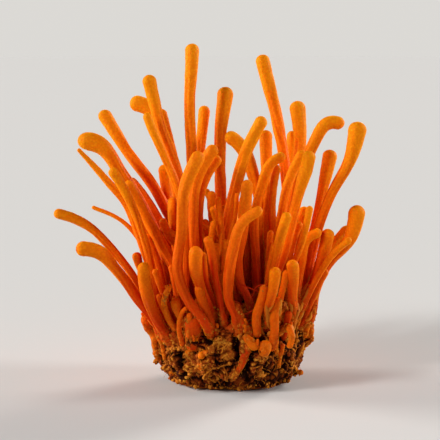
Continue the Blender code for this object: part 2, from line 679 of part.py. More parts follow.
def main():
    for leftover in list(bpy.data.objects):
        bpy.data.objects.remove(leftover)
    parts = new_collection("cordyceps_bunch")
    growths = new_collection("fused_growths")
    orange = material("orange_flesh", ORANGE, FLESH_ROUGHNESS)
    deep = material("deep_orange_flesh", DEEP_ORANGE, FLESH_ROUGHNESS)
    pale = material("pale_orange_flesh", PALE_ORANGE, FLESH_ROUGHNESS)
    ochre = material("mycelium", OCHRE, CRUMB_ROUGHNESS)

    form = block_mesh()
    tree = BVHTree.FromBMesh(form)
    groups = (
        ("left", LEFT_CLUBS, orange),
        ("centre", CENTRE_CLUBS, orange),
        ("front", FRONT_CLUBS, deep),
        ("right", RIGHT_CLUBS, orange),
    )
    names, paints, tubes = [], [], []
    for group, clubs, paint in groups:
        for number, club in enumerate(clubs, 1):
            names.append(f"club_{group}_{number}")
            paints.append(paint)
            tubes.append(rings_of(control_points(club, tree, GAP), club.head, club.stem))
    for number in range(BACK_CLUBS):
        names.append(f"club_back_{number + 1}")
        paints.append(pale)
        tubes.append(rings_of(back_points(number, tree, GAP), BACK_HEAD, BACK_STEM))
    buds = [rings_of(control_points(bud, tree, -SUNK), bud.head, bud.stem) for bud in BUDS]

    fixed = range(len(tubes), len(tubes) + len(buds))
    crowd = Crowd(tubes + buds, fixed, tree)
    crowd.run()
    for index, name in enumerate(names):
        start, end = crowd.starts[index], crowd.starts[index + 1]
        radii = tubes[index][1]
        middles = seat_foot(crowd.middles[start:end], radii, tree)
        tube(name, middles, radii, parts, paints[index])
    make_base(form, tree, buds, parts, growths, ochre)


main()
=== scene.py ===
"""The dressed bunch of cordyceps: velvety orange clubs on a crumbly crust of mycelium.

Shapes are worked out in millimetres and turned into metres where a mesh is finished. A drawn place is
(across, up) as the bunch is seen from its front, measured from where the origin is seen.
"""

import json
import math
import random
from collections import namedtuple

import bmesh
import bpy
import numpy as np
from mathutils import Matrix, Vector, noise
from mathutils.bvhtree import BVHTree
from mathutils.kdtree import KDTree

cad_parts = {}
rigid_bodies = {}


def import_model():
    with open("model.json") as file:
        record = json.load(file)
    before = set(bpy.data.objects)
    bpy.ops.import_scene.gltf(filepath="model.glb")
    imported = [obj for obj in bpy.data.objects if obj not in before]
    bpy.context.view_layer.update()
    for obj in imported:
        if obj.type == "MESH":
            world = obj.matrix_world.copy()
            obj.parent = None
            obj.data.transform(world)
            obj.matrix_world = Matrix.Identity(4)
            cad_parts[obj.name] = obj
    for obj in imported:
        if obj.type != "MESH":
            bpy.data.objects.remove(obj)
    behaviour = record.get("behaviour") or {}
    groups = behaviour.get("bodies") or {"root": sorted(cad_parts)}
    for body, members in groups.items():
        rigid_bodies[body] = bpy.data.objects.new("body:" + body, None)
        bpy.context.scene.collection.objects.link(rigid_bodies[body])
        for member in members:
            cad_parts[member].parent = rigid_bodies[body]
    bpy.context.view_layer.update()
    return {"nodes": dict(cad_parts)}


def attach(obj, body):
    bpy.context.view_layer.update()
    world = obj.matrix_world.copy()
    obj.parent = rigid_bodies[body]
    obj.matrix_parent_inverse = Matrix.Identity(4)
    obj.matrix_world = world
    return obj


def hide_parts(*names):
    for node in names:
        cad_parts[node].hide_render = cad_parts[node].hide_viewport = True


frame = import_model()

MM = 0.001
WELD = 0.000001  # in metres, for a CAD node's loose triangles
SEAM = 0.0001  # in millimetres, for a skin that is rolled up

# ---------------------------------------------------------------------------- the view

VIEW_TILT = math.radians(8.0)
VIEW_DISTANCE = 305.0
VIEW_AIM = Vector((-3.0, 0.0, 41.4))
AIM_UP = 40.25
FORWARD = Vector((0.0, math.cos(VIEW_TILT), -math.sin(VIEW_TILT)))
UPWARD = Vector((0.0, math.sin(VIEW_TILT), math.cos(VIEW_TILT)))
EYE = VIEW_AIM - VIEW_DISTANCE * FORWARD
LENS = 100.0
SENSOR = 36.0
CLIP_START = 0.01  # in metres


def place(across, up, depth):
    """The point at a depth behind the middle of the block that is seen at a drawn place."""
    drawn = VIEW_AIM + Vector((across - VIEW_AIM.x, 0.0, 0.0)) + (up - AIM_UP) * UPWARD
    reach = (depth - EYE.y) / (drawn.y - EYE.y)
    return EYE + (drawn - EYE) * reach


def make_camera():
    """A camera at the photograph's viewing angle."""
    data = bpy.data.cameras.new("camera")
    data.lens = LENS
    data.sensor_width = SENSOR
    data.clip_start = CLIP_START
    camera = bpy.data.objects.new("camera", data)
    camera.location = EYE * MM
    camera.rotation_euler = FORWARD.to_track_quat("-Z", "Y").to_euler()
    bpy.context.scene.collection.objects.link(camera)
    bpy.context.scene.camera = camera


# ---------------------------------------------------------------------------- sizes

# The clubs' lines and rings
SIDES = 30
RING_STEP = 0.45
TIP_RINGS = 8
FEWEST_RINGS = 5
ROOT_DEPTH = 4.0  # how far a club's foot goes on below its CAD solid, into the crust
ROOT_RINGS = 8
ROOT_DOWN = 12.0
PATH_EASE = 2.2  # the length over which a club's line is evened
FLARE_LENGTH = 2.4
FLARE = 0.16
FLARES = (0.3, 1.6)  # how unlike the flares of the feet are
# A stem's width as a share of its CAD ring's, by the club's group, and a head's
STEM_SHARES = {"left": 0.96, "centre": 0.96, "back": 0.96, "right": 0.92, "front": 0.88}
HEAD_SHARE = 1.01
SLIM_LENGTH = 20.0  # the stems grow slimmer over this length towards the foot
SLIM = 0.15
HEAD_LENGTH = 13.0
HEAD_MOST = 0.45  # a head takes no more than this share of a short club
HEAD_EASE = 0.5  # the share of a head over which the stem turns into it

# The relief of a club: shares of its width, and lengths in millimetres
FLATTEN = 0.05
SWAY = 1.4  # how far round its marks wander, and over what length
SWAY_LENGTH = 9.0
GROOVES = ((0.6, 0.0, 5.0), (1.1, 2.6, 8.0))  # how much each wanders, a phase, and how long it is
GROOVE_WIDTH = 0.42
GROOVE_DEPTH = 0.11
RIDGES = ((4, 0.050, 0.0), (7, 0.055, 2.0))  # how many, how high, and a phase
RIDGE_SWAY = 0.8
RIDGE_WANDER = 0.5
RIDGE_WANDER_LENGTH = 6.0
HEAD_RIDGES = 0.8  # how much of the ridges, and of the wrinkles, fades out on the head
HEAD_WRINKLES = 0.6
SWELL_SIZE = 5.0
SWELL = 0.05
WRINKLE_SIZE = 0.8
WRINKLE_STRETCH = 0.12
WRINKLE_DEPTH = 0.085
FOOT_LUMPS_PER_MM = 0.9
FOOT_LUMP = 0.22
GRAIN_SIZE = 1.1
GRAIN_HEIGHT = 0.09
GRAIN_MIDDLE = 0.42
GRAIN_FROM = 0.01  # how much of a head a ring has to be for grain
GRIT_FINER = 1.9  # the grit of the skin, set against its grain
GRIT_LOWER = 0.35
TAPER = 1.6
SPIN_APART = 3.7  # how far the noises of two clubs lie from each other
DRIFT_APART = (5.3, 1.9)
DOT_SIZE = 0.62

# The marks that the clubs' colours follow
DUST_LENGTH = 3.4  # how far dust climbs a stem, how much further where the crust is stringy
DUST_HIGHER = 2.0
DUST_LEAST = 0.6
# Painted shade that darkens the grooves, and the hollows between the ridges
GROOVE_SHADE = 0.7
RIDGE_SHADE = 8.0
CRUMB_CLIMB = 5.0  # how far crumbs climb up the stems

# The crust of the block: sizes and depths, and how strongly each feature stands out and how much painted
# shade darkens its hollows
VOXEL = 0.27
CRUST_SMOOTHING = 0.5
WARP_SIZE = 3.6
WARP = 2.0
WARP_AWAY = (Vector((0.0, 0.0, 0.0)), Vector((31.7, 11.3, 5.9)), Vector((7.1, 43.9, 23.3)))
LUMP_SIZE = 3.6
LUMP_TOP = 0.25
LUMP_DEPTH = 1.1
LUMP_DARK_FROM = 0.6
LUMP_DARK = 0.8
OPEN_SIZE = 5.0  # the patches where cracks and folds gape
OPEN_CONTRAST = 1.6
CRACK_WIDTH = 0.16
CRACK_DEPTH = 0.9
CRACK_DARK = 0.75
FOLD_SIZE = 1.4
FOLD_CONTRAST = 1.7
FOLD_LEAST = 0.35
FOLD_DEPTH = 1.3
FOLD_DARK = 0.75
CRUMB_SIZE = 0.9
CRUMB_LEAST = 0.4
CRUMB_DEPTH = 0.6
CRUMB_DARK_FROM = 0.5
CRUMB_DARK = 0.9
GRIT_SIZE = 0.42
GRIT_DEPTH = 0.16
STRINGS_FROM = 4.0  # how far to the right the crust starts to be stringy, and over what width
STRINGS_OVER = 8.0
STRING_SIZE = 1.3
STRING_STRETCH = 0.2
STRING_WARP = 0.3
STRING_CONTRAST = 2.0
STRING_DEPTH = 0.9
STRING_DARK = 0.7
STRING_CALM = 0.55
COLLAR_REACH = 1.5  # the collar that the crust makes round each stem
COLLAR_RISE = 0.45
COLLAR_CALM = 0.7
COLLAR_SHUT = 0.5
COLLAR_FLESH = (0.2, 2.2)
THIN = 2.3  # what is thinner than this is flesh
THIN_SINK = 0.35
JUST_INSIDE = 0.1
CUT_HEIGHT = 0.05  # what is lower than this is the cut
RIM_CALM = 0.8
RIM_PULL = 1.5
RIM_REACH = 12.0
RIM_MIDDLE = 1.0
RIM_HEIGHT = 4.0  # below this height the block draws in unevenly towards its cut
RIM_DRAW = 0.07
RIM_WAVES = ((2.6, 1.0), (7.0, 1.0), (17.0, 0.7))  # how many round the rim, and how strong
RIM_WAVE_HEIGHT = 2.0
# The next two: painted shade that darkens the crust towards the bottom of the block, and over what height
FOOT_SHADE = 0.3
FOOT_SHADE_HEIGHT = 5.0
CROWN_LOW = 13.5  # the crust turns into red flesh between these two heights, on top
CROWN_HIGH = 18.0
CROWN_SLOPE = 0.4
CROWN_STRINGS = 0.6

# The threads of mycelium: how many, how long and thick, how far they bend and rise, and their tones
THREAD_STEP = 0.5
THREAD_WAVE = 0.11  # how fast a thread's bend changes, from step to step
THREAD_BOB = 0.35
THREAD_LIFT = 0.1
THREAD_BOB_WAVE = 0.3
THREAD_BOB_AWAY = 9.0
THREAD_ENDS = 6.0
THREAD_BLUNT = 0.05  # the least width of a thread near its ends, as a share of its radius
THREAD_KNOTS = 0.35
THREAD_KNOT_WAVE = 0.3
THREAD_SIDES = 6
CORD_SIDES = 8
THREADS = 620
THREAD_LENGTHS = (2, 7)
THREAD_RADII = (0.09, 0.11, 0.14, 0.2)
THREAD_BEND = 1.6
Cord = namedtuple("Cord", "count low lean radii lengths bend pull tones")
MAT_CORDS = Cord(110, 2.0, 0.3, (0.2, 0.44), (4, 11), 0.8, 0.2, (0.4, 1.0))
CLIMBING_CORDS = Cord(230, 12.0, 0.2, (0.2, 0.55), (6, 13), 0.9, 0.25, (0.3, 1.0))
CLIMBING_TOP = 30.0
CLIMBING_FRONT = 0.1  # how far a face may look backwards where cords climb often, and how often elsewhere
CLIMBING_ELSEWHERE = 0.3
FUZZ = 320
FUZZ_LOW = 0.8
FUZZ_LENGTHS = (0.8, 2.2)
FUZZ_RADII = (0.04, 0.07)
FUZZ_TONES = (0.5, 1.0)
FUZZ_STEP = 0.4
FUZZ_SIDES = 4
FUZZ_SUNK = 0.3
FUZZ_OUT = 0.35  # shares of a hair's length: how far it stands out, sways twice and droops
FUZZ_SWAYS = (0.25, 0.5)
FUZZ_DROOP = 0.15

# The crumbs: how many, and their smallest size, how much more they reach, and how seldom
CRUMBS = 2600
CRUMB_SIZES = (0.14, 0.4, 2.4)
RIM_CRUMBS = 170
RIM_CRUMB_SIZES = (0.2, 0.5, 3)
RIM_CRUMB_HEIGHTS = (0.1, 1.8)
RIM_CRUMB_SLOPE = -0.7
FOOT_CRUMBS = 4200
FOOT_CRUMB_SIZES = (0.1, 0.22, 2)
BUD_CRUMBS = 420
BUD_CRUMB_SIZES = (0.1, 0.25, 2)
BUD_CRUMBS_FROM = 0.35  # how dusty a bud's skin is where crumbs stick to it
CRUMB_LOW = 0.6
CRUMB_PATCH = 3.0
CRUMB_CHANCE = (0.05, 0.4, 1.2)  # the least and the middle chance of a crumb, and how patchy it is
CLIMBING_PATCH = 4.0
CLIMBING_CHANCE = (0.1, 0.5, 1.5)
CLIMBING_FADE = 1.5
CRUMB_FACES = 5
CRUMB_STRETCH = (0.7, 1.3)
CRUMB_ROUGH = 0.8
CRUMB_ROUGH_FINE = 1.3
CRUMB_APART = 3.0
CRUMB_SINK = 0.25

# The thin stems and pins on the crown: lengths, widths, and their tips' widths as shares of these
THIN_STEMS = 80
THIN_STEM_LENGTHS = (13.0, 34.0)
THIN_STEM_WIDTHS = (0.9, 1.8)
THIN_STEM_TIPS = (1.0, 1.35)
THIN_STEM_SHORTER = 0.6  # how much shorter the thin stems at the edge of the crown are
THIN_STEM_MARKS = (0.15, 0.35, 0.6, 0.8, 1.0)  # the places along it where it is led between the clubs
PINS = 34
PIN_LENGTHS = (1.5, 5.0)
PIN_WIDTHS = (0.8, 1.3)
PIN_TIPS = (0.5, 0.8)
PIN_WARM = 0.3
THIN_SUNK = 0.8
CROWN_TRIES = 9000
CROWN_FLOOR = 13.0
CROWN_LEVEL = 0.2
CROWN_CLEAR = 0.6
CROWN_OWN = 0.35
BETWEEN_LEAST = 0.5  # a thin stem follows the clubs around it, the near ones more, but none alone
HOLLOW_ACROSS = (1.5, 7.5)  # a hollow among the stems of the front that no thin stem stands in
HOLLOW_UP = (16.0, 32.0)
HOLLOW_DEPTH = -2.0

# Buds and thin stems
BUD_STEP = 0.35
BUD_TIP_MOST = 0.4  # a bud's round tip takes no more than this share of it
BUD_SUNK = 1.2
BUD_SIDES = 18
SLIM_SIDES = 12  # for what is thinner than this
SLIM_WIDTH = 1.95
BUD_LUMP_SIZE = 1.6
BUD_LUMPS = 0.16
BUD_GRIT_SIZE = 0.5
BUD_GRIT = 0.05
BUD_GRIT_MORE = 0.35  # how much grittier a skin is that is lumpier than a bud
BUD_RIDGES = 5
BUD_RIDGE = 0.045
BUD_TWIST = 0.3
BUD_DUST = (0.4, 0.0)
# Painted shade over the whole of every slim stem among the clubs
BUD_SHADE = 0.3
BUD_TONES = (0.1, 0.45)  # how far up a club's colours a slim stem starts, and a bud
BUD_TONE_RISE = 0.5
LAID_LUMPS = 0.18
LAID_STEP = 3.0  # a form that lies on the crust never drops further back than this
LAID_TOP = 30.0

# A bud that stands off the crust: its foot, its drawn path, the depth of its tip, its two widths and
# how orange it is, from 0.14 (deep red) to 0.46 (orange)
Bud = namedtuple("Bud", "foot path tip_depth head stem warm")

BUDS = (
    Bud((-10, -14.5, 10.8), ((-9.8, 12.2), (-9.6, 14.4), (-9.4, 16.4)), -14.8, 4.6, 3.2, 0.22),
    Bud((-10.4, -14.5, 14.5), ((-10.5, 15.6), (-10.8, 17.0)), -15.6, 1.5, 1.8, 0.3),
    Bud(
        (-13.0, -14.0, 12.0),
        ((-13.2, 13.4), (-12.9, 16.0), (-12.0, 17.8), (-11.2, 18.4)),
        -15.8,
        1.1,
        1.4,
        0.3,
    ),
    Bud((-12.3, -13, 17), ((-13.6, 18), (-14.4, 20.8)), -14, 2.5, 2.0, 0.32),
    Bud((-14.5, -12.5, 15), ((-16, 16), (-17, 20), (-15.4, 24)), -15.5, 1.4, 1.6, 0.4),
    Bud((10.5, -15, 11), ((10.7, 13), (10.6, 17.0), (11.6, 20.9)), -17, 2.0, 2.2, 0.3),
    Bud((6.3, -15, 15), ((6.2, 16.5), (7.4, 20.3), (8.2, 24)), -16.5, 2.1, 2.1, 0.3),
    Bud((-19, -2, 13), ((-21, 15), (-22.2, 16.6)), -2, 2.2, 2.6, 0.42),
)
# A form that lies on the crust: drawn places with how proud it stands at each, the same last three, and
# how dusty it is at its start and its end
Laid = namedtuple("Laid", "spots head stem warm dust")

LAID = (
    Laid(
        ((0.3, 20.0, -1.9), (0.9, 17.8, -1.6), (2.2, 15.2, -1.1), (3.7, 12.8, -0.5), (5.1, 10.4, 0.0)),
        1.9,
        3.0,
        0.2,
        (0.6, 1.0),
    ),
    Laid(
        ((4.5, 10.4, -0.3), (3.5, 7.4, 0.2), (2.6, 4.8, 0.3), (1.4, 2.3, 0.2), (0.2, 0.5, 0.0)),
        1.2,
        2.3,
        0.16,
        (0.8, 1.0),
    ),
    Laid(((2.9, 11.4, -0.6), (4.6, 9.9, 0.6), (6.3, 8.1, 1.1)), 2.5, 1.9, 0.34, (0.9, 0.1)),
    Laid(((7.9, 7.0, -1.8), (8.2, 8.3, 0.0), (8.6, 10.1, 1.1)), 3.4, 2.8, 0.33, (1.0, 0.15)),
    Laid(
        (
            (12.1, 11.4, -0.6),
            (12.5, 13.0, 0.8),
            (13.5, 13.7, 1.5),
            (14.6, 12.4, 1.6),
            (14.8, 10.4, 1.1),
            (14.2, 8.2, -0.2),
        ),
        1.5,
        1.8,
        0.34,
        (0.8, 0.3),
    ),
    Laid(
        ((11.8, 15.0, -0.2), (12.0, 17.2, 0.9), (13.0, 18.0, 1.3), (13.5, 16.8, 1.3), (12.7, 15.2, 0.4)),
        1.1,
        1.2,
        0.34,
        (0.8, 0.3),
    ),
    Laid(((-5.7, 7.0, -0.3), (-7.0, 7.0, 0.8), (-8.2, 5.7, 1.0)), 1.9, 1.5, 0.38, (0.8, 0.2)),
    Laid(((-8.9, 7.4, -0.2), (-8.9, 8.5, 0.8), (-8.8, 10.8, 1.0)), 0.5, 2.3, 0.38, (0.8, 0.1)),
)
# Lumpy cords that run down the sides of the block: a drawn path, a depth, two widths
ROPES = (
    (
        ((-22.0, 16.6), (-21.1, 14.6), (-20.2, 12.4), (-19.5, 10.0), (-18.8, 7.4), (-18.6, 5.0)),
        -2.5,
        2.5,
        1.4,
    ),
    (((-20.4, 17.0), (-19.0, 14.0), (-18.2, 11.0), (-17.6, 8.0), (-17.0, 5.0)), -7.0, 1.9, 1.1),
    (((20.3, 22.5), (20.1, 18.5), (19.9, 14.0), (19.6, 11.0), (18.9, 8.0)), -2.0, 2.0, 1.5),
    (((18.9, 20.0), (18.8, 16.5), (18.9, 13.5), (18.5, 10.5)), -5.0, 1.7, 1.2),
    (((16.7, 21.0), (17.3, 18.3), (17.0, 15.0), (16.8, 12.8)), -8.0, 1.5, 1.1),
    (((15.2, 18.5), (15.5, 15.5), (15.8, 12.6), (15.3, 9.6)), -11.0, 1.4, 1.0),
    (((11.2, 13.0), (10.9, 9.5), (11.4, 6.0)), -14.0, 1.5, 0.9),
    (((13.2, 9.2), (12.4, 6.0), (12.9, 2.6)), -13.0, 1.2, 0.8),
    (((21.0, 21.0), (20.4, 17.0), (20.6, 12.5), (19.6, 8.5)), 3.0, 1.8, 1.3),
    (((20.6, 20.0), (19.8, 15.5), (20.2, 11.0), (19.0, 7.0)), 7.0, 1.6, 1.2),
    (((-20.8, 15.5), (-20.2, 12.0), (-19.6, 8.5), (-18.6, 5.0)), 3.5, 1.9, 1.2),
)
ROPE_LUMPS = 0.5
ROPE_OUT = 0.2
ROPE_WARM = 0.34
ROPE_DUST = (0.55, 1.0)
ROPE_TOP = 26.0
# Rough nodules: a drawn place, the depth of those seen edge on, and a width
NODULES = (
    (-10.9, 7.7, -16.0, 2.0),
    (-7.8, 3.8, -16.2, 2.4),
    (-20.5, 12.7, -2.0, 1.9),
    (-18.9, 7.0, -3.5, 1.7),
    (19.8, 9.6, -1.0, 1.9),
    (18.2, 1.6, -3.0, 1.4),
    (-15.8, 0.7, -6.0, 1.5),
)
NODULE_LUMPS = 0.42
NODULE_WARM = 0.36
NODULE_DUST = (1.0, 0.6)
NODULE_PROUD = 0.3
NODULE_TILT = Vector((0.0, 0.0, 0.5))
NODULE_NECK = 0.9
# Fissures and holes cut into the front of the block and darkened with painted shade: drawn ends and a half
# width
FISSURES = (
    ((1.2, 12.6), (0.6, 4.8), 1.1),
    ((4.9, 7.4), (3.4, 0.3), 1.2),
    ((-5.0, 15.4), (-5.6, 11.4), 1.9),
    ((-6.6, 13.4), (-6.8, 9.4), 0.9),
    ((-13.6, 6.0), (-12.2, 0.4), 1.4),
    ((-4.6, 5.3), (-3.4, 4.5), 0.6),
    ((6.1, 13.0), (6.7, 12.2), 0.7),
    ((11.9, 13.5), (11.9, 12.5), 0.5),
    ((13.5, 11.6), (13.5, 10.0), 0.7),
    ((16.2, 12.0), (16.4, 11.0), 0.5),
    ((16.6, 9.2), (16.0, 8.4), 0.5),
    ((9.6, 3.6), (9.0, 1.2), 0.6),
    ((14.6, 5.4), (13.6, 3.0), 0.7),
)
FISSURE_DEPTH = 3.0
FISSURE_FRONT = -4.0  # no fissure cuts what lies deeper than this
FISSURE_BEND = 1.1
FISSURE_BEND_LENGTH = 1.6
FISSURE_RAGGED = 0.7
FISSURE_RAGS = (1.5, 1.1)  # the width and the height of the rags of its edge
FISSURE_LEAST = 0.2
FISSURE_STEEP = 1.5
# Thin sprigs deep among the stems: a drawn path, a depth and a width
SPRIGS = (
    (((-7.5, 39.0), (-5.5, 37.75), (-3.5, 35.75), (-2.25, 34.25)), -9.0, 1.0),
    (((-3.5, 46.0), (-3.25, 42.75), (-2.75, 39.25), (-2.6, 33.0)), -10.5, 1.3),
    (((1.25, 47.0), (0.75, 41.0), (-0.75, 34.75), (-1.2, 28.0)), -11.5, 1.0),
    (((3.0, 46.5), (3.3, 41.0), (3.6, 35.0), (3.8, 28.0)), 4.0, 2.4),
    (((5.6, 44.0), (5.3, 40.0), (5.0, 34.0), (4.8, 28.0)), 6.0, 2.3),
    (((7.4, 42.0), (7.0, 37.0), (6.6, 33.0), (6.2, 28.0)), 3.0, 2.1),
    (((-5.2, 47.5), (-4.8, 42.0), (-4.2, 36.0), (-3.8, 28.0)), 3.0, 2.3),
    (((-2.6, 44.0), (-2.4, 40.0), (-2.0, 35.0), (-1.8, 28.0)), 5.0, 2.2),
    (((-6.8, 40.5), (-6.4, 37.0), (-6.0, 33.0), (-5.6, 28.0)), 1.0, 1.9),
)
SPRIG_FOOT = 12.0  # how far below a sprig's drawn path its foot is looked for
SPRIG_TIP = 1.1

# Thin red fibres between the stems: a drawn path and a depth
FIBRES = (
    (((0.5, 26.2), (2.0, 24.0), (2.8, 22.0), (3.8, 18.2)), -12.5),
    (((2.0, 24.0), (4.3, 23.3), (6.3, 21.8)), -12.5),
    (((3.2, 17.0), (4.5, 17.3), (5.5, 17.9), (5.6, 19.2)), -14.0),
    (((5.8, 25.0), (6.4, 23.8), (5.5, 20.2)), -12.0),
)
FIBRE_RADIUS = 0.15
FIBRE_STEP = 0.4
FIBRE_TOP = 32.0

# How flesh turns from orange to red: with its height, and redder with painted shade towards the inside of the
# bunch and where stems crowd
BUNCH_HEIGHT = 85.0
BUNCH_WIDE = 22.0
BUNCH_DEEP = 17.0
INNER_SHADE_RED = 0.14
CROWD_SHADE_RED = 0.42
LOW_HEAD = 0.62  # how far a low club's head takes its light colour, and from what height on it takes all
HIGH_HEAD = 52.0
HEAD_RISE = 0.4

# How closely the stems crowd, for the painted shade between them: the rays that feel for it, and how far
# apart they start
CROWD_REACH = 6.0
CROWD_START = 0.6
CROWD_LEANS = ((0.0, 0.0, 0.0), (0.0, 0.0, 1.0), (0.0, -0.8, 0.3), (0.8, 0.0, 0.3), (-0.8, 0.0, 0.3))
CROWD_RINGS = 3
CROWD_SIDES = 3
CROWD_EVENINGS = 3

# What each kind of random growth starts from
SEEDS = {"thin_stems": 5, "threads": 11, "fuzz": 23, "crumbs": 37, "fibres": 3}
SKIN_SEEDS = {"buds": 1, "nodules": 20, "laid": 30, "sprigs": 50, "thin_stems": 60, "ropes": 90}

# Colours, linear
TIP_ORANGE = (1.00, 0.315, 0.003, 1.0)
MID_ORANGE = (1.00, 0.200, 0.001, 1.0)
LOW_RED = (0.62, 0.030, 0.001, 1.0)
# The front clubs' tip and middle are a darker copy of the orange, as painted shade, and the back clubs' a
# lighter copy, as painted light
FRONT_SHADED_TIP = (0.96, 0.240, 0.003, 1.0)
FRONT_SHADED_MID = (0.86, 0.125, 0.002, 1.0)
BACK_LIT_TIP = (1.00, 0.370, 0.004, 1.0)
BACK_LIT_MID = (0.98, 0.250, 0.003, 1.0)
DUST_OCHRE = (0.46, 0.120, 0.006, 1.0)
CROWN_RED = (0.50, 0.045, 0.001, 1.0)
CRUST_OCHRE = (0.38, 0.074, 0.003, 1.0)
CRUST_STRAW = (0.78, 0.300, 0.025, 1.0)
CRUST_RUST = (0.32, 0.038, 0.001, 1.0)
CREVICE_SHADE = (0.016, 0.002, 0.0005, 1.0)
THREAD_STRAW = (0.78, 0.260, 0.016, 1.0)
THREAD_OCHRE = (0.42, 0.100, 0.006, 1.0)
FIBRE_RED = (0.66, 0.05, 0.006, 1.0)
FLOOR_GREY = (0.70, 0.70, 0.70, 1.0)

# Noises of the finishes: the size of their features in millimetres, detail and roughness
CLOUD_NOISE = (4.5, 3.0, 0.55)
SPECK_NOISE = (0.55, 2.0, 0.6)
VELVET_FINE = (0.16, 2.0, 0.6)
VELVET_SOFT = (0.7, 2.0, 0.5)
CRUMB_GRIT = (0.2, 4.0, 0.7)
DUST_NOISE = (1.3, 4.0, 0.65)
GRIME_NOISE = (0.7, 4.0, 0.65)
CRUST_CLOUD = (3.2, 5.0, 0.65)
CRUST_BITS = (0.8, 4.0, 0.7)
CRUMB_CELLS = 0.55

# Between which values of a noise or a mark a colour comes in
PATCHES = (0.42, 0.72)
SPECKS = (0.55, 0.75)
TIP_COMES = (0.3, 0.95)
RED_COMES = (0.46, 0.14)
DOTS_PART = (0.25, 0.7)
DUST_PATCHES = (0.3, 0.6)
GRIME_RUST = (0.38, 0.52)
GRIME_STRAW = (0.52, 0.66)
ROUGH_PATCHES = (0.2, 0.8)
RUST_COMES = (0.4, 0.62)
STRAW_COMES = (0.44, 0.62)
STRAW_HIGHLIGHT_TOPS = (0.3, 0.0)
DARK_COMES = (0.05, 0.62)
CUT_STRAW = (0.35, 0.65)

# How strong each of them is
SPECK_SHARE = 0.45
RED_PATCH = 0.06
TIP_SPECK = 0.25
DOT_SHARE = 0.2
PAINTED_SHADE_SHARE = 0.5
DUST_SHARE = 0.9
FLESH_SHARE = 0.85
DARK_SHARE = 0.94
THREAD_MOTTLE = 0.5
VELVET_FINE_SHARE = 0.3
VELVET_DOTS = -0.9
CRUMB_CELL_SHARE = 0.6

# The skins: bumps are a depth in millimetres and a strength
FLESH_ROUGHNESS = (0.46, 0.14)  # the least, and how much more in patches
FLESH_BUMP = (0.14, 0.7)
FLESH_LIGHT = {
    "Subsurface Weight": 0.35,
    "Subsurface Radius": (1.0, 0.32, 0.08),
    "Subsurface Scale": 1.2 * MM,
    "Sheen Weight": 1.0,
    "Sheen Roughness": 0.25,
    "Sheen Tint": (1.0, 0.46, 0.0, 1.0),
    "Specular IOR Level": 0.03,
}
CRUST_BUMP = (0.3, 0.8)
CRUST_LIGHT = {"Roughness": 0.78, "Specular IOR Level": 0.08}
THREAD_BUMP = (0.12, 0.6)
THREAD_LIGHT = {"Roughness": 0.7, "Specular IOR Level": 0.08}
FLOOR_LIGHT = {"Base Color": FLOOR_GREY, "Roughness": 1.0, "Specular IOR Level": 0.0}

FLOOR_SIDES = 64
FLOOR_RADIUS = 12.0  # in metres
# The lamps: a place in metres that each shines from, its strength, its spread in degrees and its colour
LAMPS = {
    "key": ((-0.8, -0.6, 0.7), 1.65, 12.0, (1.0, 0.98, 0.95)),
    "fill": ((1.0, 0.0, 0.3), 1.7, 15.0, (1.0, 0.98, 0.95)),
    "glow_left": ((-1.0, 0.2, 0.3), 2.8, 20.0, (1.0, 0.96, 0.9)),
    "glow_right": ((1.0, 0.9, 0.5), 2.5, 20.0, (1.0, 0.96, 0.9)),
}
WORLD_GREY = (0.9, 0.9, 0.92, 1.0)
WORLD_LIGHT = 0.12
BACKDROP = (0.712, 0.695, 0.665, 1.0)  # what is seen past the floor, as bright as the floor is lit


# ---------------------------------------------------------------------------- small sums


def smoothstep(value):
    """A smooth rise from 0 to 1 while the value goes from 0 to 1."""
    value = np.clip(value, 0.0, 1.0)
    return value * value * (3 - 2 * value)


def lengths_along(points):
    """The length along a line of points, at each of them."""
    steps = np.linalg.norm(np.diff(points, axis=0), axis=1)
    return np.concatenate([[0.0], np.cumsum(steps)])


def curve_through(points, step):
    """A smooth line through points that may lie far apart and close together."""
    points = np.asarray(points, float)
    along = lengths_along(points)
    slopes = np.diff(points, axis=0) / np.diff(along)[:, None]
    gaps = np.diff(along)[:, None]
    inner = (gaps[1:] * slopes[:-1] + gaps[:-1] * slopes[1:]) / (gaps[1:] + gaps[:-1])
    ways = np.concatenate([slopes[:1], inner, slopes[-1:]])
    marks = np.linspace(0.0, along[-1], max(3, math.ceil(along[-1] / step) + 1))
    index = np.clip(np.searchsorted(along, marks, side="right") - 1, 0, len(gaps) - 1)
    t = ((marks - along[index]) / gaps[index, 0])[:, None]
    gap = gaps[index]
    start, end = points[index], points[index + 1]
    return (
        (2 * t**3 - 3 * t**2 + 1) * start
        + (t**3 - 2 * t**2 + t) * gap * ways[index]
        + (-2 * t**3 + 3 * t**2) * end
        + (t**3 - t**2) * gap * ways[index + 1]
    )


def evened(points, reach, step):
    """The same line with its small corners evened out, its ends kept."""
    width = max(1, round(reach / step))
    padded = np.concatenate(
        [
            2 * points[0] - points[width:0:-1],
            points,
            2 * points[-1] - points[-2 : -width - 2 : -1],
        ]
    )
    weights = np.hanning(2 * width + 3)[1:-1]
    weights /= weights.sum()
    return np.column_stack([np.convolve(padded[:, i], weights, "valid") for i in range(3)])


def frames_along(points):
    """Two directions across a line at each of its points, turning as little as they can."""
    ways = np.gradient(points, axis=0)
    ways /= np.linalg.norm(ways, axis=1)[:, None]
    side = np.array(Vector(ways[0]).orthogonal().normalized())
    sides = []
    for way in ways:
        side = side - way * side.dot(way)
        side /= np.linalg.norm(side)
        sides.append(side)
    sides = np.array(sides)
    return ways, sides, np.cross(ways, sides)


# ---------------------------------------------------------------------------- mesh work


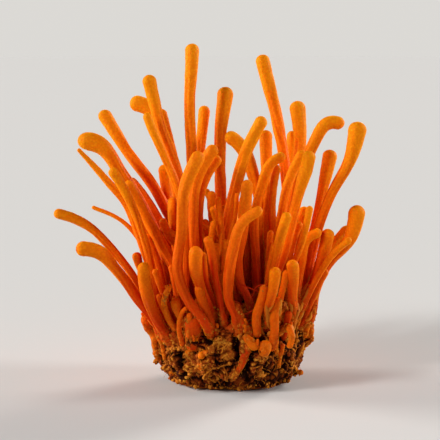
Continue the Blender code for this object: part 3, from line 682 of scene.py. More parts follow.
def finished(name, form, paint):
    """A bmesh in millimetres as a smooth object in its place, flattened where it meets the cut."""
    for vert in form.verts:
        vert.co.z = max(0.0, vert.co.z)
    bmesh.ops.scale(form, verts=form.verts, vec=(MM, MM, MM))
    mesh = bpy.data.meshes.new(name)
    form.to_mesh(mesh)
    form.free()
    mesh.shade_smooth()
    mesh.materials.append(paint)
    made = bpy.data.objects.new(name, mesh)
    bpy.context.scene.collection.objects.link(made)
    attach(made, "root")
    return made


def rolled_sheet(form, spots, shades=None):
    """A closed skin: a grid rolled up round its long side, put through the spots of each ring.

    shades holds values for the skin's points: the name of each, and a number for every spot."""
    rings, sides = spots.shape[:2]
    sheet = bmesh.ops.create_grid(
        form, x_segments=rings - 1, y_segments=sides, size=0.5, calc_uvs=False
    )["verts"]
    layers = {name: form.verts.layers.float.get(name) for name in shades or {}}
    for vert in sheet:
        ring = round((vert.co.x + 0.5) * (rings - 1))
        side = round((vert.co.y + 0.5) * sides) % sides
        vert.co = spots[ring, side]
        for name, layer in layers.items():
            vert[layer] = float(shades[name][ring, side])
    bmesh.ops.remove_doubles(form, verts=sheet, dist=SEAM)


def ring_spots(points, radii, sides):
    """The spots of a round skin about a line, a ring for each of its points."""
    _, across, over = frames_along(points)
    angles = np.arange(sides) * math.tau / sides
    turn = (
        np.cos(angles)[None, :, None] * across[:, None, :]
        + np.sin(angles)[None, :, None] * over[:, None, :]
    )
    return points[:, None, :] + turn * radii[:, None, None], turn


def welded(name):
    """A CAD node's mesh in millimetres, its loose triangles merged."""
    form = bmesh.new()
    form.from_mesh(frame["nodes"][name].data)
    bmesh.ops.remove_doubles(form, verts=form.verts, dist=WELD)
    bmesh.ops.scale(form, verts=form.verts, vec=(1 / MM, 1 / MM, 1 / MM))
    form.normal_update()
    form.verts.index_update()
    return form


# ---------------------------------------------------------------------------- reading the clubs

CAD_SIDES = 8
FLAT = 0.9999  # how alike the directions of two faces of a flat end are
ROUND = 0.02  # how unlike the reaches of its corners may be


def in_order(verts):
    """The corners of a set, each once and always in the same order."""
    return sorted(set(verts), key=lambda vert: vert.index)


def flat_foot(form):
    """The corners of the foot of a CAD club, the wider of its two flat ends."""
    ends, seen = [], set()
    for face in form.faces:
        if face in seen:
            continue
        patch, waiting = {face}, [face]
        while waiting:
            for edge in waiting.pop().edges:
                for other in edge.link_faces:
                    if other not in patch and other.normal.dot(face.normal) > FLAT:
                        patch.add(other)
                        waiting.append(other)
        seen |= patch
        corners = in_order(vert for part in patch for vert in part.verts)
        if len(corners) != CAD_SIDES:
            continue
        middle = sum((vert.co for vert in corners), Vector()) / CAD_SIDES
        reaches = [(vert.co - middle).length for vert in corners]
        if max(reaches) - min(reaches) < ROUND * max(reaches):
            ends.append((max(reaches), corners))
    return max(ends, key=lambda end: end[0])[1]


def cad_rings(name):
    """The middles and radii of a CAD club's rings, from its foot to its tip."""
    form = welded(name)
    ring = flat_foot(form)
    used = set(ring)
    middles, radii = [], []
    while ring:
        middle = sum((vert.co for vert in ring), Vector()) / len(ring)
        middles.append(tuple(middle))
        radii.append(sum((vert.co - middle).length for vert in ring) / len(ring))
        reached = {edge.other_vert(vert) for vert in ring for edge in vert.link_edges}
        ring = in_order(reached - used)
        used.update(ring)
    form.free()
    return np.array(middles), np.array(radii)


# ---------------------------------------------------------------------------- clubs


def ring_marks(length, tip, step):
    """A skin's rings: their places along its line, close together at its round tip, and that tip's widths."""
    count = max(FEWEST_RINGS, round((length - tip) / step))
    angles = np.linspace(0.0, math.pi / 2, TIP_RINGS + 1)
    tip_places = length - tip * (1 - np.sin(angles))
    marks = np.concatenate([np.linspace(0.0, length - tip, count), tip_places[1:]])
    return marks, np.cos(angles)[1:]


def spots_at(marks, line):
    """The points that lie at some lengths along a line."""
    along = lengths_along(line)
    return np.column_stack([np.interp(marks, along, line[:, i]) for i in range(3)])


def warmth_and_inner_shade(spots):
    """How orange flesh is at its spots: more so high up, and redder towards the inside of the bunch as
    painted shade.
    """
    inside = 1 - np.hypot(spots[..., 0] / BUNCH_WIDE, spots[..., 1] / BUNCH_DEEP)
    return spots[..., 2] / BUNCH_HEIGHT - INNER_SHADE_RED * np.clip(inside, 0.0, 1.0)


def crowded_shade(spots, turn, tree):
    """How closely other flesh stands before each spot of a skin, from 0 to 1: the painted shade that darkens
    and reddens flesh where stems crowd.
    """
    rings, sides = spots.shape[:2]
    coarse = np.zeros((math.ceil(rings / CROWD_RINGS), math.ceil(sides / CROWD_SIDES)))
    for row, ring in enumerate(range(0, rings, CROWD_RINGS)):
        for column, side in enumerate(range(0, sides, CROWD_SIDES)):
            out = Vector(turn[ring, side])
            start = Vector(spots[ring, side]) + out * CROWD_START
            for lean in CROWD_LEANS:
                distance = tree.ray_cast(start, (out + Vector(lean)).normalized(), CROWD_REACH)[3]
                if distance is not None:
                    coarse[row, column] += (1 - distance / CROWD_REACH) / len(CROWD_LEANS)
    crowd_shade = np.repeat(np.repeat(coarse, CROWD_RINGS, axis=0), CROWD_SIDES, axis=1)[:rings, :sides]
    for _ in range(CROWD_EVENINGS):
        crowd_shade = (np.roll(crowd_shade, 1, axis=1) + crowd_shade + np.roll(crowd_shade, -1, axis=1)) / 3
        crowd_shade[1:-1] = (crowd_shade[:-2] + crowd_shade[1:-1] + crowd_shade[2:]) / 3
    return crowd_shade


def club_line(middles):
    """A club's evened line, from inside the crust to its tip."""
    line = curve_through(np.concatenate([middles[:-2], middles[-1:]]), RING_STEP)
    line = evened(line, PATH_EASE, RING_STEP)
    start = line[0] - line[1]
    start /= np.linalg.norm(start)
    inward = np.array(Vector((-line[0, 0], -line[0, 1], -ROOT_DOWN)).normalized())
    down = np.linspace(ROOT_DEPTH, 0.0, ROOT_RINGS, endpoint=False)[:, None]
    deep = line[0] + start * down + (inward - start) * down**2 / (2 * ROOT_DEPTH)
    return np.concatenate([deep, line])


def club_rings(middles, radii):
    """The rings of a club's skin: the length up to each, its middle and its width."""
    line = club_line(middles)
    marks, tip_widths = ring_marks(lengths_along(line)[-1], radii[-3], RING_STEP)
    points = spots_at(marks, line)
    points[1:-1] = 0.25 * points[:-2] + 0.5 * points[1:-1] + 0.25 * points[2:]
    cad_along = ROOT_DEPTH + lengths_along(middles)[:-2]
    width = np.interp(marks, cad_along, radii[:-2])
    width[-TIP_RINGS:] *= tip_widths
    width[-1] = 0.0
    return marks, points, width


def groove_marks(marks, angles, spin, phase):
    """How deep each spot of a skin lies in one of the long grooves, from 0 to 1 a groove."""
    grooves = np.zeros((len(marks), SIDES))
    for sway, ahead, length in GROOVES:
        angle = spin * sway + phase + ahead
        off = np.angle(np.exp(1j * (angles[None, :] - angle[:, None])))
        strength = 0.5 + 0.5 * np.sin(marks / length + phase)
        grooves += np.exp(-((off / GROOVE_WIDTH) ** 2)) * strength[:, None]
    return grooves


def ridge_heights(marks, angles, spin, phase):
    """The heights of the fine ridges that run up a club."""
    ridges = np.zeros((len(marks), SIDES))
    for count, height, ahead in RIDGES:
        waves = RIDGE_WANDER * np.sin(marks / RIDGE_WANDER_LENGTH + ahead)
        wander = spin * RIDGE_SWAY + ahead + phase + waves
        ridges += height * np.cos(count * (angles[None, :] - wander[:, None] * 0.5))
    return ridges


def club_relief(marks, points, turn, width, head, foot, drift):
    """The swells, wrinkles, lumps and grain of a club, in millimetres."""
    relief = np.zeros((len(marks), SIDES))
    for ring in range(len(marks)):
        for side in range(SIDES):
            spot = Vector(points[ring] + turn[ring, side] * width[ring])
            angle = side * math.tau / SIDES
            strip = Vector(
                (
                    math.cos(angle) * width[ring] / WRINKLE_SIZE,
                    math.sin(angle) * width[ring] / WRINKLE_SIZE,
                    marks[ring] * WRINKLE_STRETCH / WRINKLE_SIZE,
                )
            )
            swell = noise.noise(spot / SWELL_SIZE + drift) * SWELL * width[ring]
            wrinkle = noise.noise(strip + drift) * WRINKLE_DEPTH * (1 - HEAD_WRINKLES * head[ring])
            lump = noise.noise(spot * FOOT_LUMPS_PER_MM + drift) * FOOT_LUMP * foot[ring]
            grit = noise.noise(spot / GRAIN_SIZE * GRIT_FINER) * GRAIN_HEIGHT * GRIT_LOWER
            grain = 0.0
            if head[ring] > GRAIN_FROM:
                cell = noise.voronoi(spot / GRAIN_SIZE)[0][0]
                grain = (GRAIN_MIDDLE - cell) * GRAIN_HEIGHT * head[ring]
            relief[ring, side] = swell + wrinkle + lump + grit + grain
    return relief


def club_skin(form, middles, radii, seed, tree, stem_share):
    """The skin of one club through its CAD rings, with its grooves, wrinkles and grain, and painted shade in
    its grooves, between its ridges and where stems crowd.
    """
    marks, points, width = club_rings(middles, radii)
    length = marks[-1]
    _, turn = ring_spots(points, width, SIDES)
    angles = np.arange(SIDES) * math.tau / SIDES
    reach = min(HEAD_LENGTH, HEAD_MOST * length)
    head = smoothstep((marks - (length - reach)) / (HEAD_EASE * reach))
    foot = 1 - smoothstep((marks - ROOT_DEPTH) / FLARE_LENGTH)
    fade = (1 - head)[:, None]
    chance = random.Random(seed)
    phase = chance.uniform(0, math.tau)
    sways = [noise.noise(Vector((seed * SPIN_APART, mark / SWAY_LENGTH, 0.5))) for mark in marks]
    spin = phase + SWAY * np.array(sways)

    grooves = groove_marks(marks, angles, spin, phase) * fade
    ridges = ridge_heights(marks, angles, spin, phase)
    shape = 1 + FLATTEN * np.cos(2 * (angles[None, :] - spin[:, None]))
    shape += ridges * (1 - HEAD_RIDGES * head)[:, None]
    shape -= GROOVE_DEPTH * grooves
    shape += FLARE * chance.uniform(*FLARES) * (foot**2)[:, None]
    shape -= SLIM * (1 - smoothstep((marks - ROOT_DEPTH) / SLIM_LENGTH))[:, None]
    share = stem_share + (HEAD_SHARE - stem_share) * head
    radius = width[:, None] * share[:, None] * shape
    drift = Vector((seed * DRIFT_APART[0], seed * DRIFT_APART[1], 0.0))
    taper = np.clip(width / width.max() * TAPER, 0.0, 1.0)
    radius += club_relief(marks, points, turn, width, head, foot, drift) * taper[:, None]
    spots = points[:, None, :] + turn * radius[:, :, None]
    spots[-1] = points[-1]
    spots[0] = points[0]

    whole = np.ones((1, SIDES))
    strings = stringiness(Vector(middles[0]))
    dust = 1 - smoothstep((marks - ROOT_DEPTH) / (DUST_LENGTH * (1 + DUST_HIGHER * strings)))
    rise = np.clip((marks - ROOT_DEPTH) / (length - ROOT_DEPTH), 0, 1)
    rise *= LOW_HEAD + (1 - LOW_HEAD) * smoothstep(middles[-1, 2] / HIGH_HEAD - HEAD_RISE)
    # Painted shade: the flesh is darkened and reddened where other stems crowd before it, and darkened in its
    # grooves and between its ridges
    crowd_shade = crowded_shade(spots, turn, tree)
    painted_shade = GROOVE_SHADE * grooves - RIDGE_SHADE * np.minimum(ridges, 0) * fade + crowd_shade
    shades = {
        "along": rise[:, None] * whole,
        "warm": warmth_and_inner_shade(spots) - CROWD_SHADE_RED * crowd_shade,
        "dust": (DUST_LEAST + (1 - DUST_LEAST) * strings) * dust[:, None] * whole,
        "painted_shade": np.clip(painted_shade, 0, 1),
    }
    rolled_sheet(form, spots, shades)


def new_form(*names):
    """An empty bmesh whose points carry the named values."""
    form = bmesh.new()
    for name in names:
        form.verts.layers.float.new(name)
    return form


def gather(whole, part):
    """Add a small bmesh to a big one, which is quicker than modelling in the big one."""
    mesh = bpy.data.meshes.new("part")
    part.to_mesh(mesh)
    part.free()
    whole.from_mesh(mesh)
    bpy.data.meshes.remove(mesh)


# The values that flesh colours follow; the last one is painted shade, and warm takes painted shade towards
# the inside of the bunch
FLESH_SHADES = ("along", "warm", "dust", "painted_shade")


def club_names():
    """The CAD nodes of the clubs, in a fixed order."""
    return sorted(name for name in frame["nodes"] if name.startswith("club_"))


def clubs_tree():
    """A tree of all the clubs of the CAD model, to feel how closely they stand."""
    verts, faces = [], []
    for name in club_names():
        mesh = frame["nodes"][name].data
        first = len(verts)
        verts.extend(tuple(vert.co / MM) for vert in mesh.vertices)
        faces.extend([first + index for index in face.vertices] for face in mesh.polygons)
    return BVHTree.FromPolygons(verts, faces)


def make_clubs(paints):
    """A skin for every club of the CAD model."""
    tree = clubs_tree()
    for seed, name in enumerate(club_names(), 1):
        group = name.split("_")[1]
        # The front clubs wear the darker copy of the flesh, painted shade, and the back clubs the lighter
        # copy, painted light
        slot = {"front": "deep_orange_flesh", "back": "pale_orange_flesh"}.get(group, "orange_flesh")
        form = new_form(*FLESH_SHADES)
        middles, radii = cad_rings(name)
        club_skin(form, middles, radii, seed, tree, STEM_SHARES[group])
        made = finished(f"{name}_skin", form, paints[slot])
        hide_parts(name)


# ---------------------------------------------------------------------------- the crust


def club_feet():
    """Each club's foot: its middle, its way up and its radius."""
    feet = []
    for name in club_names():
        middles, radii = cad_rings(name)
        way = Vector(middles[1] - middles[0]).normalized()
        feet.append((Vector(middles[0]), way, radii[0]))
    return feet


def voxel_copy(name, size):
    """A CAD node's form as an even mesh of small faces, in millimetres."""
    form = welded(name)
    mesh = bpy.data.meshes.new("voxels")
    form.to_mesh(mesh)
    form.free()
    blank = bpy.data.objects.new("voxels", mesh)
    bpy.context.scene.collection.objects.link(blank)
    remesh = blank.modifiers.new("remesh", "REMESH")
    remesh.mode = "VOXEL"
    remesh.voxel_size = size
    bpy.context.view_layer.update()
    seen = blank.evaluated_get(bpy.context.evaluated_depsgraph_get())
    fine = bpy.data.meshes.new_from_object(seen)
    form = bmesh.new()
    form.from_mesh(fine)
    bpy.data.objects.remove(blank)
    bpy.data.meshes.remove(mesh)
    bpy.data.meshes.remove(fine)
    return form


def eased(value):
    """The same smooth rise as smoothstep for a single number, which is quicker."""
    value = min(1.0, max(0.0, value))
    return value * value * (3 - 2 * value)


def fissure_depth(spot):
    """How much a fissure cuts into the crust at a spot, from 0 to 1."""
    if spot.y > FISSURE_FRONT:
        return 0.0
    deepest = 0.0
    for (x1, z1), (x2, z2), half in FISSURES:
        top, bottom = place(x1, z1, spot.y), place(x2, z2, spot.y)
        t = min(1.0, max(0.0, (spot.z - top.z) / (bottom.z - top.z)))
        bend = FISSURE_BEND * noise.noise(Vector((x1, z1, spot.z / FISSURE_BEND_LENGTH)))
        middle = top.x + (bottom.x - top.x) * t + bend
        away = math.hypot(spot.x - middle, max(0.0, spot.z - top.z, bottom.z - spot.z))
        rag = noise.noise(Vector((z2 + spot.x / FISSURE_RAGS[0], x2, spot.z / FISSURE_RAGS[1])))
        width = half * (1 + FISSURE_RAGGED * rag)
        deepest = max(deepest, 1 - away / max(FISSURE_LEAST, width))
    return min(1.0, deepest * FISSURE_STEEP)


def stringiness(spot):
    """Where the crust is drawn out into strings: on its right side."""
    return eased((spot.x - STRINGS_FROM) / STRINGS_OVER)


def crust_relief(spot, rough):
    """How deep the crust lies at a spot, and how much painted shade darkens it there: in its cracks, folds,
    gaps and low down.
    """
    warp = Vector([noise.noise(spot / WARP_SIZE + away) for away in WARP_AWAY])
    bent = spot + warp * WARP
    open_here = eased(0.5 + OPEN_CONTRAST * noise.noise(spot / OPEN_SIZE))
    strings = stringiness(spot)
    calm = (1 - STRING_CALM * strings) * rough

    lump, next_lump = noise.voronoi(bent / LUMP_SIZE)[0][:2]
    crack = 1 - min(1.0, (next_lump - lump) / CRACK_WIDTH)
    fold = 1 - min(1.0, abs(noise.noise(bent / FOLD_SIZE)) * FOLD_CONTRAST)
    crumb = noise.voronoi(bent / CRUMB_SIZE)[0][0]
    grit = 0.5 - 0.5 * noise.noise(spot / GRIT_SIZE)
    strand = Vector((spot.x, spot.y, spot.z * STRING_STRETCH)) / STRING_SIZE
    string = min(1.0, abs(noise.noise(strand + warp * STRING_WARP)) * STRING_CONTRAST)

    depth = LUMP_DEPTH * max(0.0, lump - LUMP_TOP) * calm
    depth += CRACK_DEPTH * crack * open_here * calm
    depth += FOLD_DEPTH * fold**3 * (FOLD_LEAST + (1 - FOLD_LEAST) * open_here) * calm
    depth += STRING_DEPTH * (1 - string) ** 2 * strings * rough
    depth += CRUMB_DEPTH * crumb * (CRUMB_LEAST + (1 - CRUMB_LEAST) * rough)
    depth += GRIT_DEPTH * grit

    # Painted shade: darker in cracks, folds, the gaps between strings, crumbs and lumps, and low down
    dark = (CRACK_DARK * crack + FOLD_DARK * fold**3) * open_here
    dark += STRING_DARK * (1 - string) ** 3 * strings
    dark += CRUMB_DARK * max(0.0, crumb - CRUMB_DARK_FROM) + LUMP_DARK * max(0.0, lump - LUMP_DARK_FROM)
    dark += FOOT_SHADE * (1 - eased(spot.z / FOOT_SHADE_HEIGHT))
    return depth, dark * rough


def pulled_in(spot, by):
    """A spot moved level by a distance towards the middle of the block, by less near the middle."""
    away = spot.xy.length
    if away < RIM_MIDDLE:
        return spot
    share = 1 - by / away * min(1.0, away / RIM_REACH)
    return Vector((spot.x * share, spot.y * share, spot.z))


def drawn_in(spot):
    """A low spot of the block, drawn in raggedly towards the middle of the cut."""
    low = 1 - eased(spot.z / RIM_HEIGHT)
    if low == 0.0 or spot.xy.length < RIM_MIDDLE:
        return spot
    around = spot.xy.normalized()
    uneven = 0.5
    for turns, strength in RIM_WAVES:
        wave = Vector((around.x * turns, around.y * turns, spot.z / RIM_WAVE_HEIGHT))
        uneven += strength * noise.noise(wave)
    share = 1 - RIM_DRAW * low * uneven
    return Vector((spot.x * share, spot.y * share, spot.z))


def how_thin(tree, spot, normal):
    """From 0 in the thick of the block to 1 on a thin bud that stands off it."""
    inner = spot - normal * JUST_INSIDE
    hit, _, _, distance = tree.ray_cast(inner, -normal)
    if hit is None:
        return 0.0
    return 1 - eased((distance - THIN) / THIN)


def feet_around(spot, near, feet):
    """How far into the collar of a stem a spot is, and how fleshy the crust is for that."""
    collar, skin = 0.0, 0.0
    for _, index, distance in near.find_n(spot, 2):
        reach = distance - feet[index][2]
        collar = max(collar, 1 - eased(reach / COLLAR_REACH))
        skin = max(skin, 1 - eased((reach - COLLAR_FLESH[0]) / COLLAR_FLESH[1]))
    return collar, skin


def crust_spot(spot, normal, near, feet, solid):
    """Where a spot of the block goes on the crust, how much painted shade it takes from its hollows, fissures
    and low place, and how fleshy it is.
    """
    collar, skin = feet_around(spot, near, feet)
    crown = eased((spot.z - CROWN_LOW) / (CROWN_HIGH - CROWN_LOW)) * eased(CROWN_SLOPE + normal.z)
    thin = how_thin(solid, spot, normal)
    skin = max(skin, crown * (1 - CROWN_STRINGS * stringiness(spot)), thin)
    depth, dark = crust_relief(spot, 1 - max(COLLAR_CALM * collar, thin))
    depth += THIN_SINK * thin
    fissure = fissure_depth(spot) * (1 - max(COLLAR_SHUT * collar, thin))
    depth += FISSURE_DEPTH * fissure
    calm = eased(spot.z / RIM_CALM)
    moved = spot + normal * (COLLAR_RISE * collar - depth * calm)
    moved = drawn_in(pulled_in(moved, RIM_PULL * (1 - calm)))
    return moved, min(1.0, dark + fissure) * calm * (1 - thin), skin


def make_crust(feet, paint):
    """The crumbly crust that stands for the block. Returns a tree of its skin."""
    form = voxel_copy("mycelium_base", VOXEL)
    # hollow carries painted shade, flesh where the crust turns into flesh, cut the cut face
    hollow, flesh, cut = (form.verts.layers.float.new(name) for name in ("hollow", "flesh", "cut"))
    axes = {"use_axis_x": True, "use_axis_y": True, "use_axis_z": True}
    bmesh.ops.smooth_vert(form, verts=form.verts, factor=CRUST_SMOOTHING, **axes)
    form.normal_update()
    near = KDTree(len(feet))
    for index, (middle, _, _) in enumerate(feet):
        near.insert(middle, index)
    near.balance()
    solid = BVHTree.FromBMesh(form)
    moved = []
    for vert in form.verts:
        if vert.co.z <= CUT_HEIGHT:
            vert[cut] = 1.0
            moved.append(drawn_in(pulled_in(vert.co, RIM_PULL)))
        else:
            spot, vert[hollow], vert[flesh] = crust_spot(vert.co, vert.normal, near, feet, solid)
            moved.append(spot)
    for vert, spot in zip(form.verts, moved):
        vert.co = (spot.x, spot.y, max(0.0, spot.z))
    form.normal_update()
    tree = BVHTree.FromBMesh(form)
    made = finished("mycelium_crust", form, paint)
    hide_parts("mycelium_base")
    return tree


# ---------------------------------------------------------------------------- buds and nodules


def bud_line(bud, tree):
    """The line of a bud from inside the crust to its tip."""
    spot, normal, _, _ = tree.find_nearest(Vector(bud.foot))
    first = spot - normal * BUD_SUNK
    drawn = [place(across, up, 0.0) for across, up in bud.path]
    steps = [0.0, *((b - a).length for a, b in zip(drawn, drawn[1:]))]
    lift = (place(*bud.path[0], first.y) - first).length
    reach = np.cumsum(steps) + lift
    points = [first]
    for (across, up), length in zip(bud.path, reach):
        depth = first.y + (bud.tip_depth - first.y) * length / reach[-1]
        points.append(place(across, up, depth))
    return np.array([tuple(point) for point in points])


def bud_skin(form, line, stem, head, seed, warm=None, lumps=BUD_LUMPS, dust=BUD_DUST):
    """A short stem or bud with a round tip, as a part of a form that carries the flesh shades.

    warm is how orange it is, or None where that follows its place. dust is how dusted its foot and its
    tip are."""
    fine = curve_through(line, BUD_STEP)
    length = lengths_along(fine)[-1]
    marks, tip_widths = ring_marks(length, min(0.5 * head, BUD_TIP_MOST * length), BUD_STEP)
    points = spots_at(marks, fine)
    radii = 0.5 * (stem + (head - stem) * smoothstep(marks / length))
    radii[-TIP_RINGS:] *= tip_widths
    radii[-1] = 0.0
    started = np.clip(marks / (0.5 * stem), 0.0, 1.0)
    radii *= np.sqrt(started * (2 - started))
    sides = SLIM_SIDES if max(stem, head) < SLIM_WIDTH else BUD_SIDES
    spots, turn = ring_spots(points, radii, sides)
    drift = Vector((seed, 0, 0))
    for ring in range(len(marks)):
        for side in range(sides):
            spot = Vector(spots[ring, side])
            angle = side * math.tau / sides
            push = lumps * noise.noise(spot / BUD_LUMP_SIZE + drift)
            push += (BUD_GRIT + BUD_GRIT_MORE * (lumps - BUD_LUMPS)) * noise.noise(spot / BUD_GRIT_SIZE)
            push += BUD_RIDGE * math.sin(BUD_RIDGES * angle + marks[ring] * BUD_TWIST + seed)
            spots[ring, side] += turn[ring, side] * push * min(1.0, radii[ring])
    spots[-1] = points[-1]
    spots[0] = points[0]
    whole = np.ones((1, sides))
    # A slim stem's warm follows its place, redder towards the inside of the bunch as painted shade, and
    # painted shade darkens all of it
    slim = warm is None
    shades = {
        "along": (BUD_TONES[0 if slim else 1] + BUD_TONE_RISE * marks / length)[:, None] * whole,
        "warm": warmth_and_inner_shade(spots) if slim else warm * np.ones(spots.shape[:2]),
        "dust": (dust[0] + (dust[1] - dust[0]) * smoothstep(marks / length))[:, None] * whole,
        "painted_shade": np.full(spots.shape[:2], BUD_SHADE if slim else 0.0),
    }
    part = new_form(*FLESH_SHADES)
    rolled_sheet(part, spots, shades)
    gather(form, part)


def laid_line(laid, tree):
    """The line of a form that lies on the crust, through its drawn places."""
    points = []
    for across, up, proud in laid.spots:
        aim = place(across, up, 0.0)
        way = (aim - EYE).normalized()
        hit = tree.ray_cast(EYE, way)[0]
        if hit is None or (points and hit.y > points[-1][1] + LAID_STEP):
            depth = points[-1][1] if points else 0.0
            hit = place(across, up, depth) + way * proud
        points.append(tuple(hit - way * proud))
    return np.array(points)


def flesh_piece(name, form, paints, slot):
    """A finished piece of flesh in its slot."""
    finished(name, form, paints[slot])


def make_buds(cad_tree, paints):
    """The buds, stubs and fingers of flesh on the crust."""
    form = new_form(*FLESH_SHADES)
    skins = low_skin_tree(LAID_TOP)
    for seed, bud in enumerate(BUDS, SKIN_SEEDS["buds"]):
        bud_skin(form, bud_line(bud, cad_tree), bud.stem, bud.head, seed, bud.warm)
    for seed, laid in enumerate(LAID, SKIN_SEEDS["laid"]):
        line = laid_line(laid, skins)
        bud_skin(form, line, laid.stem, laid.head, seed, laid.warm, LAID_LUMPS, laid.dust)
    flesh_piece("buds_and_stubs", form, paints, "deep_orange_flesh")


def make_nodules(tree, paints):
    """Rough nodules, half sunk in the crust."""
    form = new_form(*FLESH_SHADES)
    for seed, (across, up, depth, width) in enumerate(NODULES, SKIN_SEEDS["nodules"]):
        aim = place(across, up, depth)
        hit, normal, _, _ = tree.ray_cast(EYE, (aim - EYE).normalized())
        if hit is None:
            hit, normal, _, _ = tree.find_nearest(aim)
        out = (normal + NODULE_TILT).normalized()
        top = hit + out * NODULE_PROUD * width
        line = np.array([tuple(top - out * width), tuple(top - out * 0.5 * width), tuple(top)])
        bud_skin(form, line, width * NODULE_NECK, width, seed, NODULE_WARM, NODULE_LUMPS, NODULE_DUST)
    flesh_piece("nodules", form, paints, "deep_orange_flesh")


def make_ropes(paints):
    """The lumpy cords that run down the sides of the block."""
    form = new_form(*FLESH_SHADES)
    tree = low_skin_tree(ROPE_TOP)
    for seed, (path, depth, top, bottom) in enumerate(ROPES, SKIN_SEEDS["ropes"]):
        points = []
        for across, up in path:
            hit, normal, _, _ = tree.find_nearest(place(across, up, depth))
            points.append(tuple(hit + normal * ROPE_OUT * top))
        bud_skin(form, np.array(points), top, bottom, seed, ROPE_WARM, ROPE_LUMPS, ROPE_DUST)
    flesh_piece("side_cords", form, paints, "deep_orange_flesh")


def make_sprigs(crust_tree, paints):
    """The thin sprigs that stand deep among the stems."""
    form = new_form(*FLESH_SHADES)
    for seed, (path, depth, width) in enumerate(SPRIGS, SKIN_SEEDS["sprigs"]):
        points = [place(across, up, depth) for across, up in reversed(path)]
        points.insert(0, crust_tree.find_nearest(points[0] - Vector((0, 0, SPRIG_FOOT)))[0])
        bud_skin(form, np.array([tuple(point) for point in points]), width, width * SPRIG_TIP, seed)
    flesh_piece("thin_sprigs", form, paints, "orange_flesh")


def crown_spots(skin, count, feet, chance):
    """Spots of the crown between the clubs' feet, with the ways out of the crust there."""
    chosen = []
    taken = [(middle, radius) for middle, _, radius in feet]
    tries = 0
    while len(chosen) < count and tries < CROWN_TRIES:
        tries += 1
        spot, normal = skin[chance.randrange(len(skin))]
        if spot.z < CROWN_FLOOR or normal.z < CROWN_LEVEL:
            continue
        if any((spot - middle).length < radius + CROWN_CLEAR for middle, radius in taken):
            continue
        chosen.append((spot, normal))
        taken.append((spot, CROWN_OWN))
    chosen.sort(key=lambda pair: math.hypot(pair[0].x / BUNCH_WIDE, pair[0].y / BUNCH_DEEP))
    return chosen


def between_clubs(spot, length, lines):
    """A line from a spot of the crown that runs between the three clubs around it."""
    near = sorted(lines, key=lambda line: (Vector(line[0]) - spot).length)[:3]
    weights = np.array([1 / ((Vector(line[0]) - spot).length + BETWEEN_LEAST) for line in near])
    weights /= weights.sum()
    points = [np.array(spot)]
    for share in THIN_STEM_MARKS:
        move = np.zeros(3)
        for line, weight in zip(near, weights):
            reach = min(share * length, lengths_along(line)[-1])
            move += weight * (spots_at([reach], line)[0] - line[0])
        points.append(points[0] + move)
    return np.array(points)


def stands_before_hollow(line):
    """Whether a stem would hide the dark hollow among the stems of the front."""
    across = (line[:, 0] > HOLLOW_ACROSS[0]) & (line[:, 0] < HOLLOW_ACROSS[1])
    up = (line[:, 2] > HOLLOW_UP[0]) & (line[:, 2] < HOLLOW_UP[1])
    return bool(np.any(across & up & (line[:, 1] < HOLLOW_DEPTH)))


def make_thin_stems(skin, feet, paints):
    """The thin stems and pins that crowd between the clubs on the crown."""
    chance = random.Random(SEEDS["thin_stems"])
    lines = [curve_through(cad_rings(name)[0], 1.0) for name in club_names()]
    spots = crown_spots(skin, THIN_STEMS + PINS, feet, chance)
    stems, pins = new_form(*FLESH_SHADES), new_form(*FLESH_SHADES)
    for number, (spot, normal) in enumerate(spots):
        slim = number < THIN_STEMS
        outside = min(1.0, math.hypot(spot.x / BUNCH_WIDE, spot.y / BUNCH_DEEP))
        length = chance.uniform(*(THIN_STEM_LENGTHS if slim else PIN_LENGTHS))
        length *= 1 - THIN_STEM_SHORTER * outside**2
        width = chance.uniform(*(THIN_STEM_WIDTHS if slim else PIN_WIDTHS))
        line = between_clubs(spot, length, lines)
        line[0] -= np.array(normal) * THIN_SUNK
        if slim and stands_before_hollow(line):
            continue
        head = width * chance.uniform(*(THIN_STEM_TIPS if slim else PIN_TIPS))
        seed = SKIN_SEEDS["thin_stems"] + number
        bud_skin(stems if slim else pins, line, width, head, seed, None if slim else PIN_WARM)
    flesh_piece("thin_stems", stems, paints, "orange_flesh")
    flesh_piece("crown_pins", pins, paints, "deep_orange_flesh")


# ---------------------------------------------------------------------------- threads and crumbs


def crawl(tree, start, heading, length, radius, bend, chance, pull=0.0):
    """A line that creeps over the crust from a start, turning as it goes."""
    spot, normal, _, _ = tree.find_nearest(start)
    points = []
    drift = chance.uniform(0, 100)
    for number in range(max(4, int(length / THREAD_STEP))):
        turn = noise.noise(Vector((drift, number * THREAD_WAVE, 0.0))) * bend
        side = normal.cross(heading)
        heading = (heading + side * turn * THREAD_STEP + Vector((0, 0, pull))).normalized()
        heading = (heading - normal * heading.dot(normal)).normalized()
        mark = Vector((drift + THREAD_BOB_AWAY, number * THREAD_BOB_WAVE, 0.0))
        bob = THREAD_BOB * radius * noise.noise(mark)
        points.append(tuple(spot + normal * (THREAD_LIFT * radius + bob)))
        spot, normal, _, _ = tree.find_nearest(spot + heading * THREAD_STEP)
    return np.array(points)


def thread_skin(form, points, radius, tone, sides, chance):
    """A thin cord with pointed ends and a tone of its own."""
    count = len(points)
    if count < 4:
        return
    points = evened(points, 1.0, THREAD_STEP) if count > 6 else points
    share = np.linspace(0, 1, count)
    ends = np.minimum(1.0, np.minimum(share, 1 - share) * THREAD_ENDS + THREAD_BLUNT)
    drift = chance.uniform(0, 50)
    knots = [noise.noise(Vector((drift, mark * count * THREAD_KNOT_WAVE, 0))) for mark in share]
    radii = radius * ends * (1 + THREAD_KNOTS * np.array(knots))
    radii[0] = 0.0
    radii[-1] = 0.0
    spots, _ = ring_spots(points, radii, sides)
    part = new_form("tone")
    rolled_sheet(part, spots, {"tone": np.full((count, sides), tone)})
    gather(form, part)


